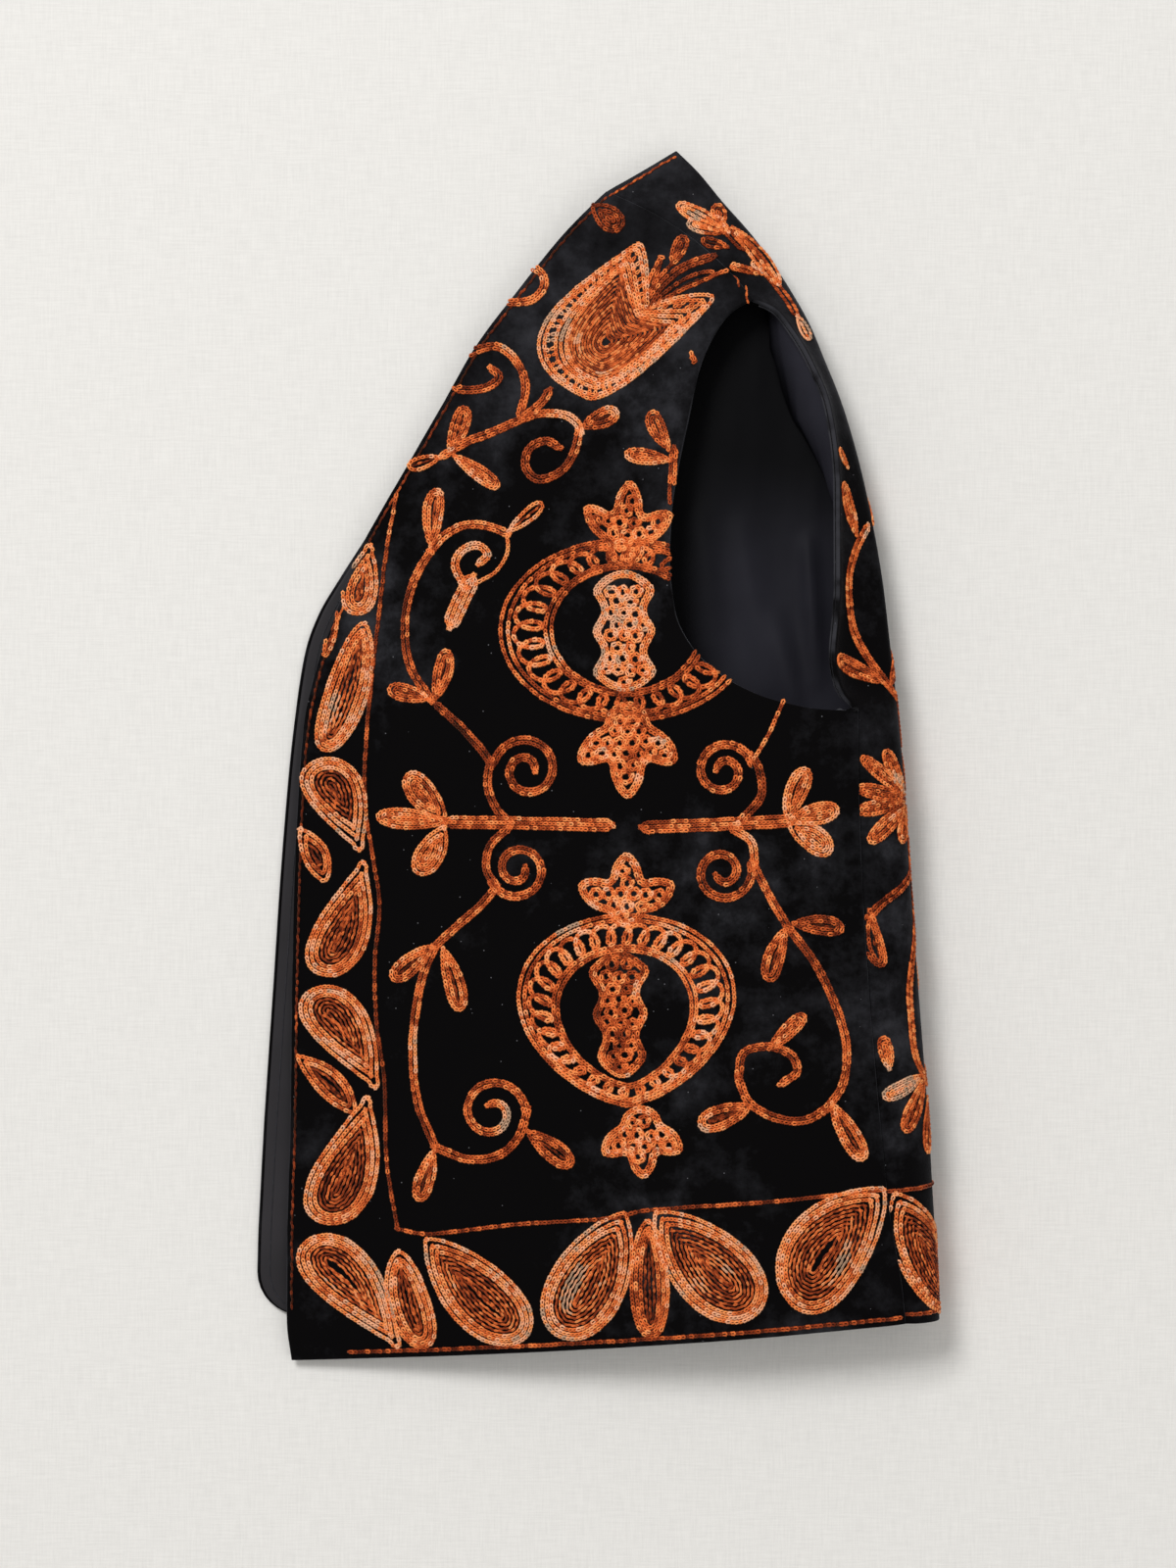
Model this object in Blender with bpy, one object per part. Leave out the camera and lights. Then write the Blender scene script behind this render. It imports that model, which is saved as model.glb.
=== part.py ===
"""A velvet waistcoat laid on its side and folded, left front uppermost.

The cloth is made of walls. Each wall is a grid of points on its outer face, worked out
section by section from the tables below, and a second grid moved in by the cloth's
thickness. A section runs across the garment, from its front edge to its side.
Tables are in millimetres from the middle of the laid garment: +X is towards the side
seam, +Y towards the neck and +Z up from the surface that it lies on.
"""

import math

import bmesh
import bpy
import numpy as np

MM = 0.001

# Driving dimensions, in millimetres.
VELVET = 2.4
LINING = 1.0
SEAM_GAP = 0.3
LOW_LAYER = 8.3
FOLD_BOTTOM = 4.0
FOLD_TOP = 8.0
FOLD_GROOVE = 1.4
FOLD_ROUNDING = 1.0
FOLD_LEFT_MARGIN = 12.0
FOLD_RIGHT_MARGIN = 9.0
FOLD_HEM_MARGIN = 7.0
FACING_WIDTH = 6.0
EDGE_INSET = 1.4

# How the sections bend: how steeply the top layer leaves its front edge, how far the
# back's curve runs on before it turns down, and how wide its turn is against its depth.
RISE_POWER = 1.15
BEND_PULL = 0.45
TURN_WIDTH = 0.9

# How closely the walls are divided: the distance between sections, and the steps across.
GRID = 15.0
RIM_GRID = 12.0
FOLD_GRID = 20.0
SHOULDER_STEPS = 16
OVER_STEPS = 7
TURN_STEPS = 5
RUN_STEPS = 4
FACED_COLUMNS = 2
CORNER_STEPS = 5
FLAT_SHARES = (0, 0.05, 0.35, 0.7, 1)

# The left front, hem to shoulder seam. Each row is one section: where it meets the front
# or neck edge and how high, where it meets the side seam or armhole, the crest that the
# cloth rises to there, or would reach beyond the armhole, and how far the section's
# middle bows towards the shoulder.
FRONT_COLUMNS = (
    "front_x", "front_y", "front_z", "side_x", "side_y", "crest_x", "crest_z", "bow",
)
FRONT_SECTIONS = (
    (-155.8, -306.5, 5.6, 153.8, -284.0, 153.8, 39.0, -2.6),
    (-158.0, -284.0, 8.2, 151.8, -265.0, 151.8, 40.5, -1.0),
    (-157.8, -242.0, 8.6, 145.5, -228.0, 145.5, 42.0, 0.0),
    (-156.3, -188.5, 8.4, 141.3, -188.5, 141.3, 43.0, 0.0),
    (-155.3, -113.5, 8.2, 134.8, -113.5, 134.8, 44.0, 0.0),
    (-153.8, -53.5, 8.2, 131.3, -53.5, 131.3, 44.0, 0.0),
    (-151.3, -3.5, 8.2, 129.8, -3.5, 129.8, 43.5, 0.0),
    (-148.5, 22.0, 8.2, 129.8, 22.5, 129.8, 42.5, 0.0),
    (-146.5, 32.0, 8.2, 109.8, 24.0, 129.0, 42.3, 0.0),
    (-143.5, 44.0, 8.2, 84.8, 29.5, 128.0, 42.0, 0.0),
    (-140.0, 55.0, 8.2, 62.3, 40.5, 127.0, 41.6, 0.0),
    (-135.0, 68.0, 8.3, 46.3, 55.5, 126.0, 41.2, 0.0),
    (-129.0, 85.0, 8.4, 37.8, 74.0, 125.0, 40.6, 0.0),
    (-120.3, 106.5, 8.6, 35.3, 99.0, 124.0, 40.0, 0.0),
    (-108.0, 129.0, 8.9, 36.3, 123.0, 122.0, 39.2, 0.0),
    (-94.0, 153.0, 9.4, 39.8, 146.5, 119.0, 38.4, 0.0),
    (-79.0, 179.0, 10.2, 44.5, 169.0, 114.0, 37.4, 0.0),
    (-62.0, 208.5, 11.4, 50.5, 196.0, 106.0, 36.4, 0.5),
    (-40.0, 237.5, 12.9, 58.5, 213.5, 97.0, 35.4, 1.5),
    (-18.0, 264.5, 14.5, 66.0, 223.5, 87.0, 34.2, 3.5),
    (3.8, 286.5, 16.0, 77.3, 230.5, 77.3, 33.0, 6.0),
)

# Soft creases of the top layer: a line from one point to another, how wide the trough is
# and how deep. A negative depth is a ridge.
CREASE_COLUMNS = ("x0", "y0", "x1", "y1", "width", "depth")
CREASES = (
    (-12.0, -300.0, -20.0, -196.0, 15.0, 1.6),
    (66.0, -300.0, 58.0, -214.0, 17.0, -1.1),
    (-96.0, -292.0, -88.0, -176.0, 16.0, 1.2),
    (88.0, 20.0, 62.0, -74.0, 13.0, 1.5),
    (-98.0, 118.0, -116.0, 20.0, 13.0, 1.4),
    (-52.0, 196.0, 34.0, 214.0, 11.0, 1.5),
    (96.0, -40.0, 104.0, -170.0, 12.0, 1.3),
)
BACK_CREASES = (
    (20.0, 288.0, 58.0, 279.0, 7.0, 1.6),
    (34.0, 297.0, 60.0, 283.0, 5.0, -1.0),
    (130.0, 30.0, 146.0, -60.0, 8.0, 1.2),
    (150.0, -150.0, 160.0, -260.0, 8.0, -1.2),
)

# The back, in three runs of sections that continue from the left front: up the side seam,
# up the back of the armhole and along the shoulder seam to the neck. lean is the angle
# below level at which the cloth leaves that edge. The fold is where the cloth turns
# under, seen from above, and the end is the hidden edge of its lower run.
SIDE_ROWS = 7
SHOULDER_ROWS = 4
BACK_COLUMNS = ("lean", "fold_x", "fold_y", "fold_z", "end_x", "end_y")
BACK_SECTIONS = (
    (10.0, 172.3, -283.5, 21.0, -45.0, -288.0),
    (11.0, 171.2, -258.0, 21.5, -45.0, -262.0),
    (13.0, 169.2, -226.0, 22.0, -45.0, -228.0),
    (16.0, 167.0, -188.5, 22.5, -45.0, -188.5),
    (20.0, 161.3, -113.5, 23.0, -45.0, -113.5),
    (22.0, 156.8, -53.5, 23.0, -45.0, -53.5),
    (24.0, 153.6, -3.5, 23.0, -45.0, -3.5),
    (30.0, 151.0, 24.0, 22.5, -42.0, 22.5),
    (58.0, 149.7, 37.0, 22.0, -38.0, 35.0),
    (70.0, 147.6, 55.0, 21.5, -30.0, 52.0),
    (74.0, 143.8, 88.0, 21.0, -10.0, 86.0),
    (77.0, 135.0, 136.0, 20.0, 5.0, 135.0),
    (78.0, 123.8, 177.0, 19.0, 17.0, 172.0),
    (72.0, 114.2, 201.5, 18.5, 23.0, 190.0),
    (64.0, 107.2, 218.5, 18.0, 28.0, 203.0),
    (56.0, 98.4, 234.5, 17.5, 30.0, 213.0),
    (42.0, 91.2, 246.0, 17.0, 30.0, 223.0),
    (36.0, 78.2, 264.0, 16.0, 27.0, 240.0),
    (30.0, 62.6, 282.0, 14.5, 23.0, 257.0),
    (26.0, 50.6, 296.8, 13.0, 20.0, 271.0),
    (24.0, 39.8, 307.5, 12.2, 17.0, 283.0),
)
FIRST_SHOULDER = len(BACK_SECTIONS) - 1 - SHOULDER_ROWS

# The rim of the back armhole between the side seam and the shoulder.
RIM_COLUMNS = ("rim_x", "rim_y", "rim_z")
RIM_POINTS = (
    (129.8, 22.5, 42.0),
    (120.6, 36.0, 41.0),
    (118.4, 52.0, 40.2),
    (121.0, 87.0, 39.5),
    (120.9, 136.0, 38.5),
    (116.5, 175.0, 37.0),
    (108.0, 197.0, 36.0),
    (98.5, 213.5, 35.0),
    (88.0, 226.0, 34.0),
    (77.3, 230.5, 33.0),
)

# The right front lies face down underneath. Each row is a section from its front or neck
# edge to its side seam or armhole. Below the first row its corner is round.
UNDER_COLUMNS = ("edge_x", "edge_y", "side_x", "side_y")
UNDER_SECTIONS = (
    (-173.3, -262.0, 143.5, -252.0),
    (-172.9, -245.0, 141.5, -238.0),
    (-171.8, -222.0, 138.0, -218.0),
    (-170.0, -188.5, 132.5, -186.0),
    (-165.0, -113.5, 125.0, -113.5),
    (-161.0, -53.5, 121.0, -53.5),
    (-156.3, 1.5, 118.0, -8.0),
    (-153.6, 24.0, 117.0, 14.0),
    (-152.0, 36.0, 98.0, 16.0),
    (-150.0, 48.0, 73.0, 22.0),
    (-147.6, 58.5, 51.0, 33.0),
    (-141.5, 74.0, 35.0, 48.0),
    (-132.0, 90.0, 27.0, 66.0),
    (-120.5, 108.0, 24.0, 90.0),
    (-109.0, 126.0, 25.0, 114.0),
    (-94.0, 148.5, 28.0, 138.0),
    (-78.5, 174.0, 33.0, 161.0),
    (-61.0, 203.0, 39.0, 187.0),
    (-39.0, 232.0, 46.5, 205.0),
    (-17.0, 258.0, 55.0, 216.0),
    (0.0, 277.0, 65.0, 222.5),
)
UNDER_CORNER_RADIUS = 22.0
UNDER_HEM_SIDE = (145.5, -274.0)

# The two cloths: colour and roughness.
VELVET_FINISH = ((0.012, 0.012, 0.015, 1.0), 0.9)
SATIN_FINISH = ((0.018, 0.019, 0.028, 1.0), 0.45)


def clear_scene():
    """Removes whatever the startup file holds."""
    for thing in list(bpy.data.objects):
        bpy.data.objects.remove(thing, do_unlink=True)


def material(name, finish):
    """The cloth that one piece is cut from: a Principled BSDF with its own colour."""
    colour, roughness = finish
    made = bpy.data.materials.new(name)
    made.use_nodes = True
    shader = made.node_tree.nodes["Principled BSDF"]
    shader.inputs["Base Color"].default_value = colour
    shader.inputs["Roughness"].default_value = roughness
    shader.inputs["Metallic"].default_value = 0.0
    return made


def slopes(values):
    """Slopes at the rows of a table for a curve that never overshoots them."""
    step = np.diff(values, axis=0)
    before, after = step[:-1], step[1:]
    same_way = before * after > 0
    total = np.where(same_way, before + after, 1.0)
    middle = np.where(same_way, 2 * before * after / total, 0.0)
    return np.vstack([step[:1], middle, step[-1:]])


def at_row(table, place):
    """A smooth value of every column at a place between the table's rows."""
    values = np.asarray(table, float)
    tangents = slopes(values)
    row = int(min(max(math.floor(place), 0), len(values) - 2))
    part = place - row
    a, b = values[row], values[row + 1]
    rise, fall = tangents[row], tangents[row + 1]
    cube, square = part**3, part**2
    return (
        (2 * cube - 3 * square + 1) * a
        + (cube - 2 * square + part) * rise
        + (3 * square - 2 * cube) * b
        + (cube - square) * fall
    )


def crease_depth(creases, x, y):
    """How far a table of creases lowers the cloth at a point."""
    depth = 0.0
    for x0, y0, x1, y1, width, deep in creases:
        along = np.array([x1 - x0, y1 - y0])
        reach = np.array([x - x0, y - y0])
        share = float(np.clip(reach @ along / (along @ along), 0.0, 1.0))
        away = np.linalg.norm(reach - share * along) / width
        depth += deep * math.exp(-away * away) * math.sin(math.pi * (0.15 + 0.7 * share))
    return depth


def front_point(across, place):
    """A point on the left front's face: across is 0 at its front edge and 1 at its side."""
    row = dict(zip(FRONT_COLUMNS, at_row(FRONT_SECTIONS, place)))
    edge = np.array([row["front_x"], row["front_y"]])
    side = np.array([row["side_x"], row["side_y"]])
    course = side - edge
    normal = np.array([-course[1], course[0]]) / np.linalg.norm(course)
    spot = edge + course * across + normal * row["bow"] * 4 * across * (1 - across)
    share = float(np.clip((spot[0] - edge[0]) / (row["crest_x"] - edge[0]), 0.0, 1.0))
    rise = math.sin(math.pi / 2 * share) ** RISE_POWER
    height = row["front_z"] + (row["crest_z"] - row["front_z"]) * rise
    height -= crease_depth(CREASES, *spot) * math.sin(math.pi * across)
    return np.array([spot[0], spot[1], height])


def back_start(place):
    """Where the back's section begins: on the side seam, the rim or the shoulder seam."""
    last_front = len(FRONT_SECTIONS) - 1
    if place <= SIDE_ROWS:
        return front_point(1.0, place)
    if place <= FIRST_SHOULDER:
        return at_row(RIM_POINTS, place - SIDE_ROWS)
    return front_point(1.0 - (place - FIRST_SHOULDER) / SHOULDER_ROWS, last_front)


def bend(points, shares):
    """A cubic curve through the first and last of four points, led by the middle two."""
    a, b, c, d = points
    t = np.asarray(shares, float)[:, None]
    return a * (1 - t) ** 3 + 3 * b * t * (1 - t) ** 2 + 3 * c * t * t * (1 - t) + d * t**3


def back_section(place):
    """Points across the back: from its edge to the fold, round it, and along the lower run."""
    row = dict(zip(BACK_COLUMNS, at_row(BACK_SECTIONS, place)))
    start = back_start(place)
    fold = np.array([row["fold_x"], row["fold_y"], row["fold_z"]])
    end = np.array([row["end_x"], row["end_y"], LOW_LAYER])
    out = fold[:2] - start[:2]
    width = np.linalg.norm(out)
    out = np.append(out / width, 0.0)
    start = start + out * SEAM_GAP
    drop = start[2] - fold[2]
    lean = math.radians(row["lean"])
    pull = BEND_PULL * math.hypot(width, drop)
    leave = start + out * pull * math.cos(lean) - np.array([0, 0, pull * math.sin(lean)])
    arrive = fold + np.array([0, 0, BEND_PULL * drop])
    shares = np.linspace(0, 1, OVER_STEPS + 1)
    top = bend((start, leave, arrive, fold), shares)
    for point, share in zip(top, shares):
        point[2] -= crease_depth(BACK_CREASES, *point[:2]) * math.sin(math.pi * share)
    inward = end[:2] - fold[:2]
    inward = np.append(inward / np.linalg.norm(inward), 0.0)
    depth = fold[2] - LOW_LAYER
    round_points = []
    for angle in np.linspace(0, math.pi / 2, TURN_STEPS + 1)[1:]:
        back_by = inward * depth * TURN_WIDTH * (1 - math.cos(angle))
        down_by = np.array([0, 0, depth * math.sin(angle)])
        round_points.append(fold + back_by - down_by)
    run_start = round_points[-1]
    shares = np.linspace(0, 1, RUN_STEPS + 1)[1:]
    run = [run_start + (end - run_start) * share for share in shares]
    return np.vstack([top, round_points, run])


def places(table, first, last, columns, spacing):
    """Rows for a grid: every table row, with enough between them for the spacing."""
    values = np.asarray(table, float)
    found = []
    for row in range(first, last):
        length = max(
            np.linalg.norm(values[row + 1, list(pair)] - values[row, list(pair)])
            for pair in columns
        )
        count = max(1, round(length / spacing))
        found += [row + part / count for part in range(count)]
    return [*found, float(last)]


def outward(grid):
    """Unit normals of a grid of points, pointing out of the garment."""
    grid = np.asarray(grid)
    along = np.gradient(grid, axis=0)
    across = np.gradient(grid, axis=1)
    normals = np.cross(across, along)
    return normals / np.linalg.norm(normals, axis=2, keepdims=True)


def wall(name, grid, directions, start, thickness, finish):
    """A sheet of cloth as a closed wall, from start to start + thickness inside a grid."""
    outer = np.asarray(grid) + directions * start
    inner = outer + directions * thickness
    rows, columns = outer.shape[:2]
    shape = bmesh.new()
    skins = [
        [[shape.verts.new(point * MM) for point in row] for row in skin]
        for skin in (outer, inner)
    ]
    for skin in skins:
        for i in range(rows - 1):
            for j in range(columns - 1):
                shape.faces.new((skin[i][j], skin[i][j + 1], skin[i + 1][j + 1], skin[i + 1][j]))
    rim = [(0, j) for j in range(columns)]
    rim += [(i, columns - 1) for i in range(1, rows)]
    rim += [(rows - 1, j) for j in range(columns - 2, -1, -1)]
    rim += [(i, 0) for i in range(rows - 2, 0, -1)]
    for (i, j), (k, m) in zip(rim, rim[1:] + rim[:1]):
        shape.faces.new((skins[0][i][j], skins[0][k][m], skins[1][k][m], skins[1][i][j]))
    return finish_object(name, shape, finish)


def finish_object(name, shape, finish):
    """Turns a closed shape's faces out and links it into the scene as one named object."""
    bmesh.ops.recalc_face_normals(shape, faces=shape.faces[:])
    mesh = bpy.data.meshes.new(name)
    shape.to_mesh(mesh)
    shape.free()
    mesh.shade_smooth()
    mesh.set_sharp_from_angle(angle=math.radians(50))
    mesh.materials.append(material(name, finish))
    made = bpy.data.objects.new(name, mesh)
    bpy.context.scene.collection.objects.link(made)
    return made


def front_rows(last):
    """Places of the left front's sections."""
    return places(FRONT_SECTIONS, 0, last, ((0, 1), (3, 4)), GRID)


def left_front():
    """The uppermost panel, from its front and neck edges to the side seam and armhole."""
    rows = front_rows(len(FRONT_SECTIONS) - 1)
    across = np.linspace(0, 1, SHOULDER_STEPS + 1)
    grid = np.array([[front_point(share, place) for share in across] for place in rows])
    inward = -outward(grid)
    inward[:, -1] = (0, 0, -1)
    inward[-1] = (0, 0, -1)
    return wall("left_front", grid, inward, 0.0, VELVET, VELVET_FINISH)


def back_rows():
    """Places of the back's sections. On the seams they meet the left front's points."""
    side = front_rows(SIDE_ROWS)
    rim = places(BACK_SECTIONS, SIDE_ROWS, FIRST_SHOULDER, ((1, 2),), RIM_GRID)
    steps = np.arange(1, SHOULDER_STEPS + 1) / SHOULDER_STEPS
    return side[:-1] + rim + list(FIRST_SHOULDER + steps * SHOULDER_ROWS)


def back_grid(rows):
    """The back's outer face and the directions into the cloth, level with the seams."""
    grid = np.array([back_section(place) for place in rows])
    inward = -outward(grid)
    for i, place in enumerate(rows):
        if place <= SIDE_ROWS or place >= FIRST_SHOULDER:
            inward[i, 0] = (0, 0, -1)
    return grid, inward


def back():
    """The back panel: over the fold at the right and under the whole garment."""
    grid, inward = back_grid(back_rows())
    return wall("back", grid, inward, 0.0, VELVET, VELVET_FINISH)


def back_lining():
    """The lining of the back, which shows through the armhole and at the hem."""
    rows = [place for place in back_rows() if place <= FIRST_SHOULDER]
    grid, inward = back_grid(rows)
    grid, inward = grid[:, FACED_COLUMNS:], inward[:, FACED_COLUMNS:]
    return wall("back_lining", grid, inward, VELVET + SEAM_GAP, LINING, SATIN_FINISH)


def armhole_facing():
    """The strip of velvet turned in along the back of the armhole."""
    rows = [place for place in back_rows() if SIDE_ROWS + 0.9 < place <= FIRST_SHOULDER]
    grid, inward = back_grid(rows)
    inward[-1, 0] = inward[-1, 1]
    edge, next_point = grid[:, 0], grid[:, 1]
    step = next_point - edge
    length = np.linalg.norm(step, axis=1, keepdims=True)
    lower = edge + step * np.minimum(FACING_WIDTH / length, 0.8)
    strip = np.stack([edge, (edge + lower) / 2, lower], axis=1)
    directions = np.stack([inward[:, 0]] * strip.shape[1], axis=1)
    return wall("armhole_facing", strip, directions, VELVET + SEAM_GAP, LINING, VELVET_FINISH)


def under_grid(inset):
    """Sections of the right front, flat on the surface, with a rounded lower corner."""
    table = np.asarray(UNDER_SECTIONS)
    centre = table[0, :2] + np.array([UNDER_CORNER_RADIUS, 0.0])
    hem_side = np.array(UNDER_HEM_SIDE)
    sections = []
    for step in range(CORNER_STEPS):
        share = step / CORNER_STEPS
        angle = math.pi / 2 * (1 - share)
        turn = np.array([-math.cos(angle), -math.sin(angle)])
        side = hem_side + (table[0, 2:] - hem_side) * share
        sections.append((centre + turn * UNDER_CORNER_RADIUS, side))
    for place in places(UNDER_SECTIONS, 0, len(table) - 1, ((0, 1),), GRID):
        row = at_row(UNDER_SECTIONS, place)
        sections.append((row[:2], row[2:]))
    grid = []
    for edge, side in sections:
        course = (side - edge) / np.linalg.norm(side - edge)
        first, final = edge + course * inset, side - course * inset
        grid.append([first + (final - first) * share for share in FLAT_SHARES])
    return np.array(grid)


def under_sheet(name, inset, bottom, thickness, finish):
    """One flat layer of the right front, from bottom upwards."""
    flat = under_grid(inset)
    if inset:
        flat[0, :, 1] += inset
        flat[-1, :, 1] -= inset
    grid = np.dstack([flat, np.full(flat.shape[:2], bottom + thickness)])
    down = np.zeros(grid.shape)
    down[..., 2] = -1
    return wall(name, grid, down, 0.0, thickness, finish)


def fold_profile():
    """The edge of the folded layers: two rounded edges with a groove between them."""
    middle = (FOLD_BOTTOM + FOLD_TOP) / 2
    ease = FOLD_ROUNDING * 0.6
    return (
        (FOLD_ROUNDING, FOLD_BOTTOM),
        (0.0, FOLD_BOTTOM + ease),
        (0.0, middle - ease),
        (FOLD_GROOVE, middle),
        (0.0, middle + ease),
        (0.0, FOLD_TOP - ease),
        (FOLD_ROUNDING, FOLD_TOP),
    )


def fold_ring(place):
    """A closed section of the folded layers, a little inside the back's lower run."""
    row = dict(zip(BACK_COLUMNS, at_row(BACK_SECTIONS, place)))
    left = np.array([row["end_x"], row["end_y"]])
    right = np.array([row["fold_x"], row["fold_y"]])
    course = (right - left) / np.linalg.norm(right - left)
    left = left - course * FOLD_LEFT_MARGIN
    right = right - course * FOLD_RIGHT_MARGIN
    lift = np.array([0, FOLD_HEM_MARGIN * max(0.0, 1 - place)])
    profile = fold_profile()
    near = [np.append(left + lift + course * inset, height) for inset, height in profile]
    far = [np.append(right + lift - course * inset, height) for inset, height in profile]
    return near + far[::-1]


def folded_back():
    """The other half of the back, folded between the fronts, with its layers at the edges."""
    shape = bmesh.new()
    loops = []
    for place in places(BACK_SECTIONS, 0, len(BACK_SECTIONS) - 2, ((1, 2),), FOLD_GRID):
        loops.append([shape.verts.new(point * MM) for point in fold_ring(place)])
    for lower, upper in zip(loops, loops[1:]):
        for k in range(len(lower)):
            n = (k + 1) % len(lower)
            shape.faces.new((lower[k], lower[n], upper[n], upper[k]))
    for ring in (loops[0], loops[-1]):
        half = len(ring) // 2
        for k in range(half - 1):
            shape.faces.new((ring[k], ring[k + 1], ring[-2 - k], ring[-1 - k]))
    return finish_object("folded_back", shape, SATIN_FINISH)


def main():
    """Builds every piece of the folded waistcoat."""
    clear_scene()
    left_front()
    back()
    back_lining()
    armhole_facing()
    folded_back()
    under_sheet("right_front", 0.0, 0.0, VELVET, VELVET_FINISH)
    under_sheet("right_front_lining", EDGE_INSET, VELVET + SEAM_GAP, LINING, SATIN_FINISH)


main()
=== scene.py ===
"""Looks of a velvet waistcoat laid folded on linen, worked in orange chain stitch.

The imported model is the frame. Each cloth piece is a thin shell on its solid's form, and
the embroidery is real chain stitch, laid row by row over the shells.
Lengths in the tables are in millimetres: +X towards the side seam, +Y towards the neck
and +Z up from the surface that the garment lies on.
"""

import math

import bpy
import numpy as np
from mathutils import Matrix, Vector, noise
from mathutils.bvhtree import BVHTree


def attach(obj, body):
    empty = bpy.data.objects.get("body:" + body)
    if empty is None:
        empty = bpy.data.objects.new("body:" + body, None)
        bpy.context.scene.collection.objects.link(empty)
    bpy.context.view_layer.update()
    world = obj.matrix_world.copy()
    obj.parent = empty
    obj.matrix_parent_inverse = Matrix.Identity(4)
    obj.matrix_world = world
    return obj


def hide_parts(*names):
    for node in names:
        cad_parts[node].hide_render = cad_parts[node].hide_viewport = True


bl_info = {
    "name": "Folded velvet waistcoat",
    "version": (1, 0, 0),
    "blender": (4, 5, 0),
    "location": "3D View > Sidebar > Waistcoat",
    "description": "Builds a folded velvet waistcoat with chain-stitch embroidery",
    "category": "Object",
}

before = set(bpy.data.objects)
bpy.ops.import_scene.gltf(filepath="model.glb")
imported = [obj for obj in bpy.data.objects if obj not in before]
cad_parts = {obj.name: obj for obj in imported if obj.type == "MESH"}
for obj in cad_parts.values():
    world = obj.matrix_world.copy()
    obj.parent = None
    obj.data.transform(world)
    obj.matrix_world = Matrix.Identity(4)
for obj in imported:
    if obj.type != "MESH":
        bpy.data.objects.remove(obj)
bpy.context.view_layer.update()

MM = 0.001

# The cloth's layers, as in the solids.
VELVET = 2.4
LINING = 1.0
SEAM_GAP = 0.3
LOW_LAYER = 8.3
FACING_WIDTH = 6.0
LINING_INSET = 1.4
RISE_POWER = 1.15
BEND_PULL = 0.45
TURN_WIDTH = 0.9
FRONT_DIP = (1.2, 4.5)
BACK_DIP = (2.4, 4.0)
RIM_STEPS = 3
RIM_BULGE = 0.25

# The left front, hem to shoulder seam: its front or neck edge, its side seam or armhole,
# and the crest that the cloth rises to.
FRONT_COLUMNS = (
    "front_x", "front_y", "front_z", "side_x", "side_y", "crest_x", "crest_z", "bow",
)
FRONT_SECTIONS = (
    (-155.8, -306.5, 5.6, 153.8, -284.0, 153.8, 39.0, -2.6),
    (-158.0, -284.0, 8.2, 151.8, -265.0, 151.8, 40.5, -1.0),
    (-157.8, -242.0, 8.6, 145.5, -228.0, 145.5, 42.0, 0.0),
    (-156.3, -188.5, 8.4, 141.3, -188.5, 141.3, 43.0, 0.0),
    (-155.3, -113.5, 8.2, 134.8, -113.5, 134.8, 44.0, 0.0),
    (-153.8, -53.5, 8.2, 131.3, -53.5, 131.3, 44.0, 0.0),
    (-151.3, -3.5, 8.2, 129.8, -3.5, 129.8, 43.5, 0.0),
    (-148.5, 22.0, 8.2, 129.8, 22.5, 129.8, 42.5, 0.0),
    (-146.5, 32.0, 8.2, 109.8, 24.0, 129.0, 42.3, 0.0),
    (-143.5, 44.0, 8.2, 84.8, 29.5, 128.0, 42.0, 0.0),
    (-140.0, 55.0, 8.2, 62.3, 40.5, 127.0, 41.6, 0.0),
    (-135.0, 68.0, 8.3, 46.3, 55.5, 126.0, 41.2, 0.0),
    (-129.0, 85.0, 8.4, 37.8, 74.0, 125.0, 40.6, 0.0),
    (-120.3, 106.5, 8.6, 35.3, 99.0, 124.0, 40.0, 0.0),
    (-108.0, 129.0, 8.9, 36.3, 123.0, 122.0, 39.2, 0.0),
    (-94.0, 153.0, 9.4, 39.8, 146.5, 119.0, 38.4, 0.0),
    (-79.0, 179.0, 10.2, 44.5, 169.0, 114.0, 37.4, 0.0),
    (-62.0, 208.5, 11.4, 50.5, 196.0, 106.0, 36.4, 0.5),
    (-40.0, 237.5, 12.9, 58.5, 213.5, 97.0, 35.4, 1.5),
    (-18.0, 264.5, 14.5, 66.0, 223.5, 87.0, 34.2, 3.5),
    (3.8, 286.5, 16.0, 77.3, 230.5, 77.3, 33.0, 6.0),
)

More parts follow.
